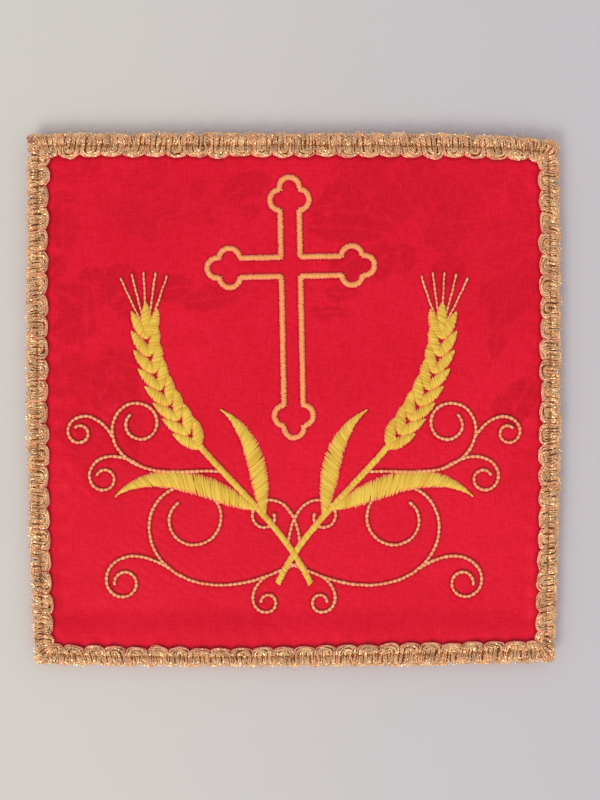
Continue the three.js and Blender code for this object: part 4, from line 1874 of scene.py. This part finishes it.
    def fray(self, group: bpy.types.NodeTree, finish: Finish) -> bpy.types.Object:
        """Makes the tuft of loose threads where the braid's two ends meet at the upper left corner.

        Args:
            group: the node group that makes cords.
            finish: the threads' finish.

        Returns:
            The finished piece.
        """
        chance = np.random.default_rng(51)
        corner = self.placed(np.array([3.0 * self.outline.loops_per_side]), np.array([self.fray_aside]))[0]
        strands = []
        for _ in range(self.fray_strands):
            root = corner + chance.normal(0, 0.5, 2)
            heading = math.radians(135) + chance.normal(0, 1.1)
            bends = chance.choice([-1, 1]) * chance.uniform(0.9, 2.2, 2)
            line = Stroke.sweep(root, heading, chance.uniform(1.4, 2.6), tuple(bends), step=0.15)
            start, end = chance.uniform(0.6, 1.4), chance.uniform(0.2, 1.0)
            level = FACE_LEVEL + np.linspace(start, end, len(line.points))
            strands.append(np.column_stack([line.points, level]))
        mesh = self.line_mesh("fray_lines", strands, closed=False)
        inputs = {"Cord Radius": self.fray_radius * MM, "Sides": 4, "Seed": 9, "Finish": finish.material()}
        return run_group("braid_fray", mesh, group, inputs)


@dataclass(frozen=True)
class Lamp:
    """A square soft light that faces the pall."""

    name: str
    place: Place
    size: float
    watts: float
    colour: Colour

    def hang(self) -> None:
        """Adds the light to the scene."""
        light = bpy.data.lights.new(self.name, "AREA")
        light.size = self.size * MM
        light.energy = self.watts
        light.color = linear(self.colour)[:3]
        lamp = add_to_scene(self.name, light)
        lamp.location = Vector(self.place) * MM
        lamp.rotation_euler = (-lamp.location).to_track_quat("-Z", "Y").to_euler()


@dataclass
class Studio:
    """The table top, the light and the camera."""

    floor_size: float = 2400.0
    eye: Place = (0.96, 13.69, 350.0)
    target: Place = (1.78, 0.65, 4.0)
    lens: float = 52.01
    sky: float = 0.65
    sky_colour: Colour = (250, 250, 255)
    lamps: tuple[Lamp, ...] = (
        Lamp("key_light", (-2000.0, -3300.0, 3100.0), 2100.0, 100.0, (255, 248, 238)),
        Lamp("glint_light", (420.0, -1150.0, 2900.0), 500.0, 7.5, (255, 246, 236)),
    )

    def build(self, finish: Finish) -> None:
        """Sets up everything round the pall.

        Args:
            finish: the table top's finish.
        """
        half = self.floor_size / 2 * MM
        mesh = bpy.data.meshes.new("table_top")
        corners = [(-half, -half, 0), (half, -half, 0), (half, half, 0), (-half, half, 0)]
        mesh.from_pydata(corners, [], [(0, 1, 2, 3)])
        mesh.materials.append(finish.material())
        floor = add_to_scene("table_top", mesh)
        for lamp in self.lamps:
            lamp.hang()
        self.world()
        self.camera()

    def world(self) -> None:
        """Lights everything evenly and keeps plain colours."""
        scene = bpy.context.scene
        scene.world = bpy.data.worlds.new("soft_room")
        scene.world.use_nodes = True
        ground = scene.world.node_tree.nodes["Background"]
        ground.inputs["Color"].default_value = linear(self.sky_colour)
        ground.inputs["Strength"].default_value = self.sky
        scene.view_settings.view_transform = "Standard"

    def camera(self) -> None:
        """Looks down at the pall from the photograph's place."""
        seen = bpy.data.cameras.new("camera")
        seen.lens = self.lens
        seen.clip_start = 0.01
        camera = add_to_scene("camera", seen)
        forward = (Vector(self.target) - Vector(self.eye)).normalized()
        right = forward.cross(Vector((0, 1, 0))).normalized()
        up = right.cross(forward)
        turned = Matrix((right, up, -forward)).transposed().to_4x4()
        camera.matrix_world = Matrix.Translation(Vector(self.eye) * MM) @ turned
        bpy.context.scene.camera = camera


def main() -> None:
    """Builds the pall's pieces, dresses them and sets the scene."""
    logging.basicConfig(level=logging.INFO, format="%(name)s: %(message)s")
    outline = Outline()
    face = PallFace(edge=outline.half - PANEL_INSET)
    stitches, cords = stitch_group(), cord_group()
    thread = GoldThreadFinish()
    outlining = GoldThreadFinish("outline_thread", (255, 186, 112), (250, 164, 96), (255, 144, 116), 0.5)
    # the fine thread's deeper ends are painted shade between its running stitches
    fine = GoldThreadFinish("fine_gold_thread", (255, 188, 140), (255, 162, 118), (244, 128, 98))
    binding = GoldThreadFinish("binding_thread", (186, 122, 66), (142, 86, 42), (142, 86, 42))
    gilt = GiltCordFinish()
    pale = GiltCordFinish(name="pale_gilt_cord", foil=(255, 224, 178), silk=(222, 160, 106))
    rosy = GiltCordFinish(name="rosy_gilt_cord", foil=(255, 204, 166), silk=(234, 150, 112))
    # the rim cord's salmon tint is painted reflection: red light from the cloth beside it, over gilt
    red_bounce_rim = GiltCordFinish(name="salmon_gilt_cord", foil=(255, 180, 150), silk=(255, 148, 118))
    # the core cords' darker gilt is partly painted shade, the shade that falls between the cords wound over
    # them
    shaded_core = GiltCordFinish(name="core_cord", foil=(238, 178, 112), silk=(192, 126, 70))
    worn = GiltCordFinish(name="worn_cord", foil=(196, 140, 112), silk=(160, 106, 80))
    cross, sprays, braid = BuddedCross(face), WheatSprays(face), GimpBraid(outline)
    strokes = [side for stroke in sprays.curves.values() for side in sprays.both(stroke)]
    sewn = np.vstack([cross.outline().points[::6]] + [stroke.points[::8] for stroke in strokes])
    trim = braid.build(cords, [rosy, gilt, pale, gilt, gilt, pale], red_bounce_rim, pale, shaded_core)
    trim.append(braid.ties(face, stitches, binding))
    trim.append(braid.fray(cords, worn))
    gold = [cross.build(stitches, outlining)] + sprays.build(stitches, thread, fine)
    # the edges that the painted shade on the cloth is measured from
    inner_edge = braid.rim_line(np.random.default_rng(RIM_SEED))[:, :2]
    beside = [np.vstack(cross.edges + sprays.edges), inner_edge]
    cloth = PallCloth(outline, face).build(DamaskFinish(), sewn, beside)
    for slot, pieces in {"damask": [cloth], "gold_braid": trim, "gold_thread": gold}.items():
        for piece in pieces:
            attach(piece, BODY)
            LOG.info("%s: %d faces, %s", piece.name, len(piece.data.polygons), slot)
    Studio().build(FloorFinish())


if __name__ == "__main__":
    main()
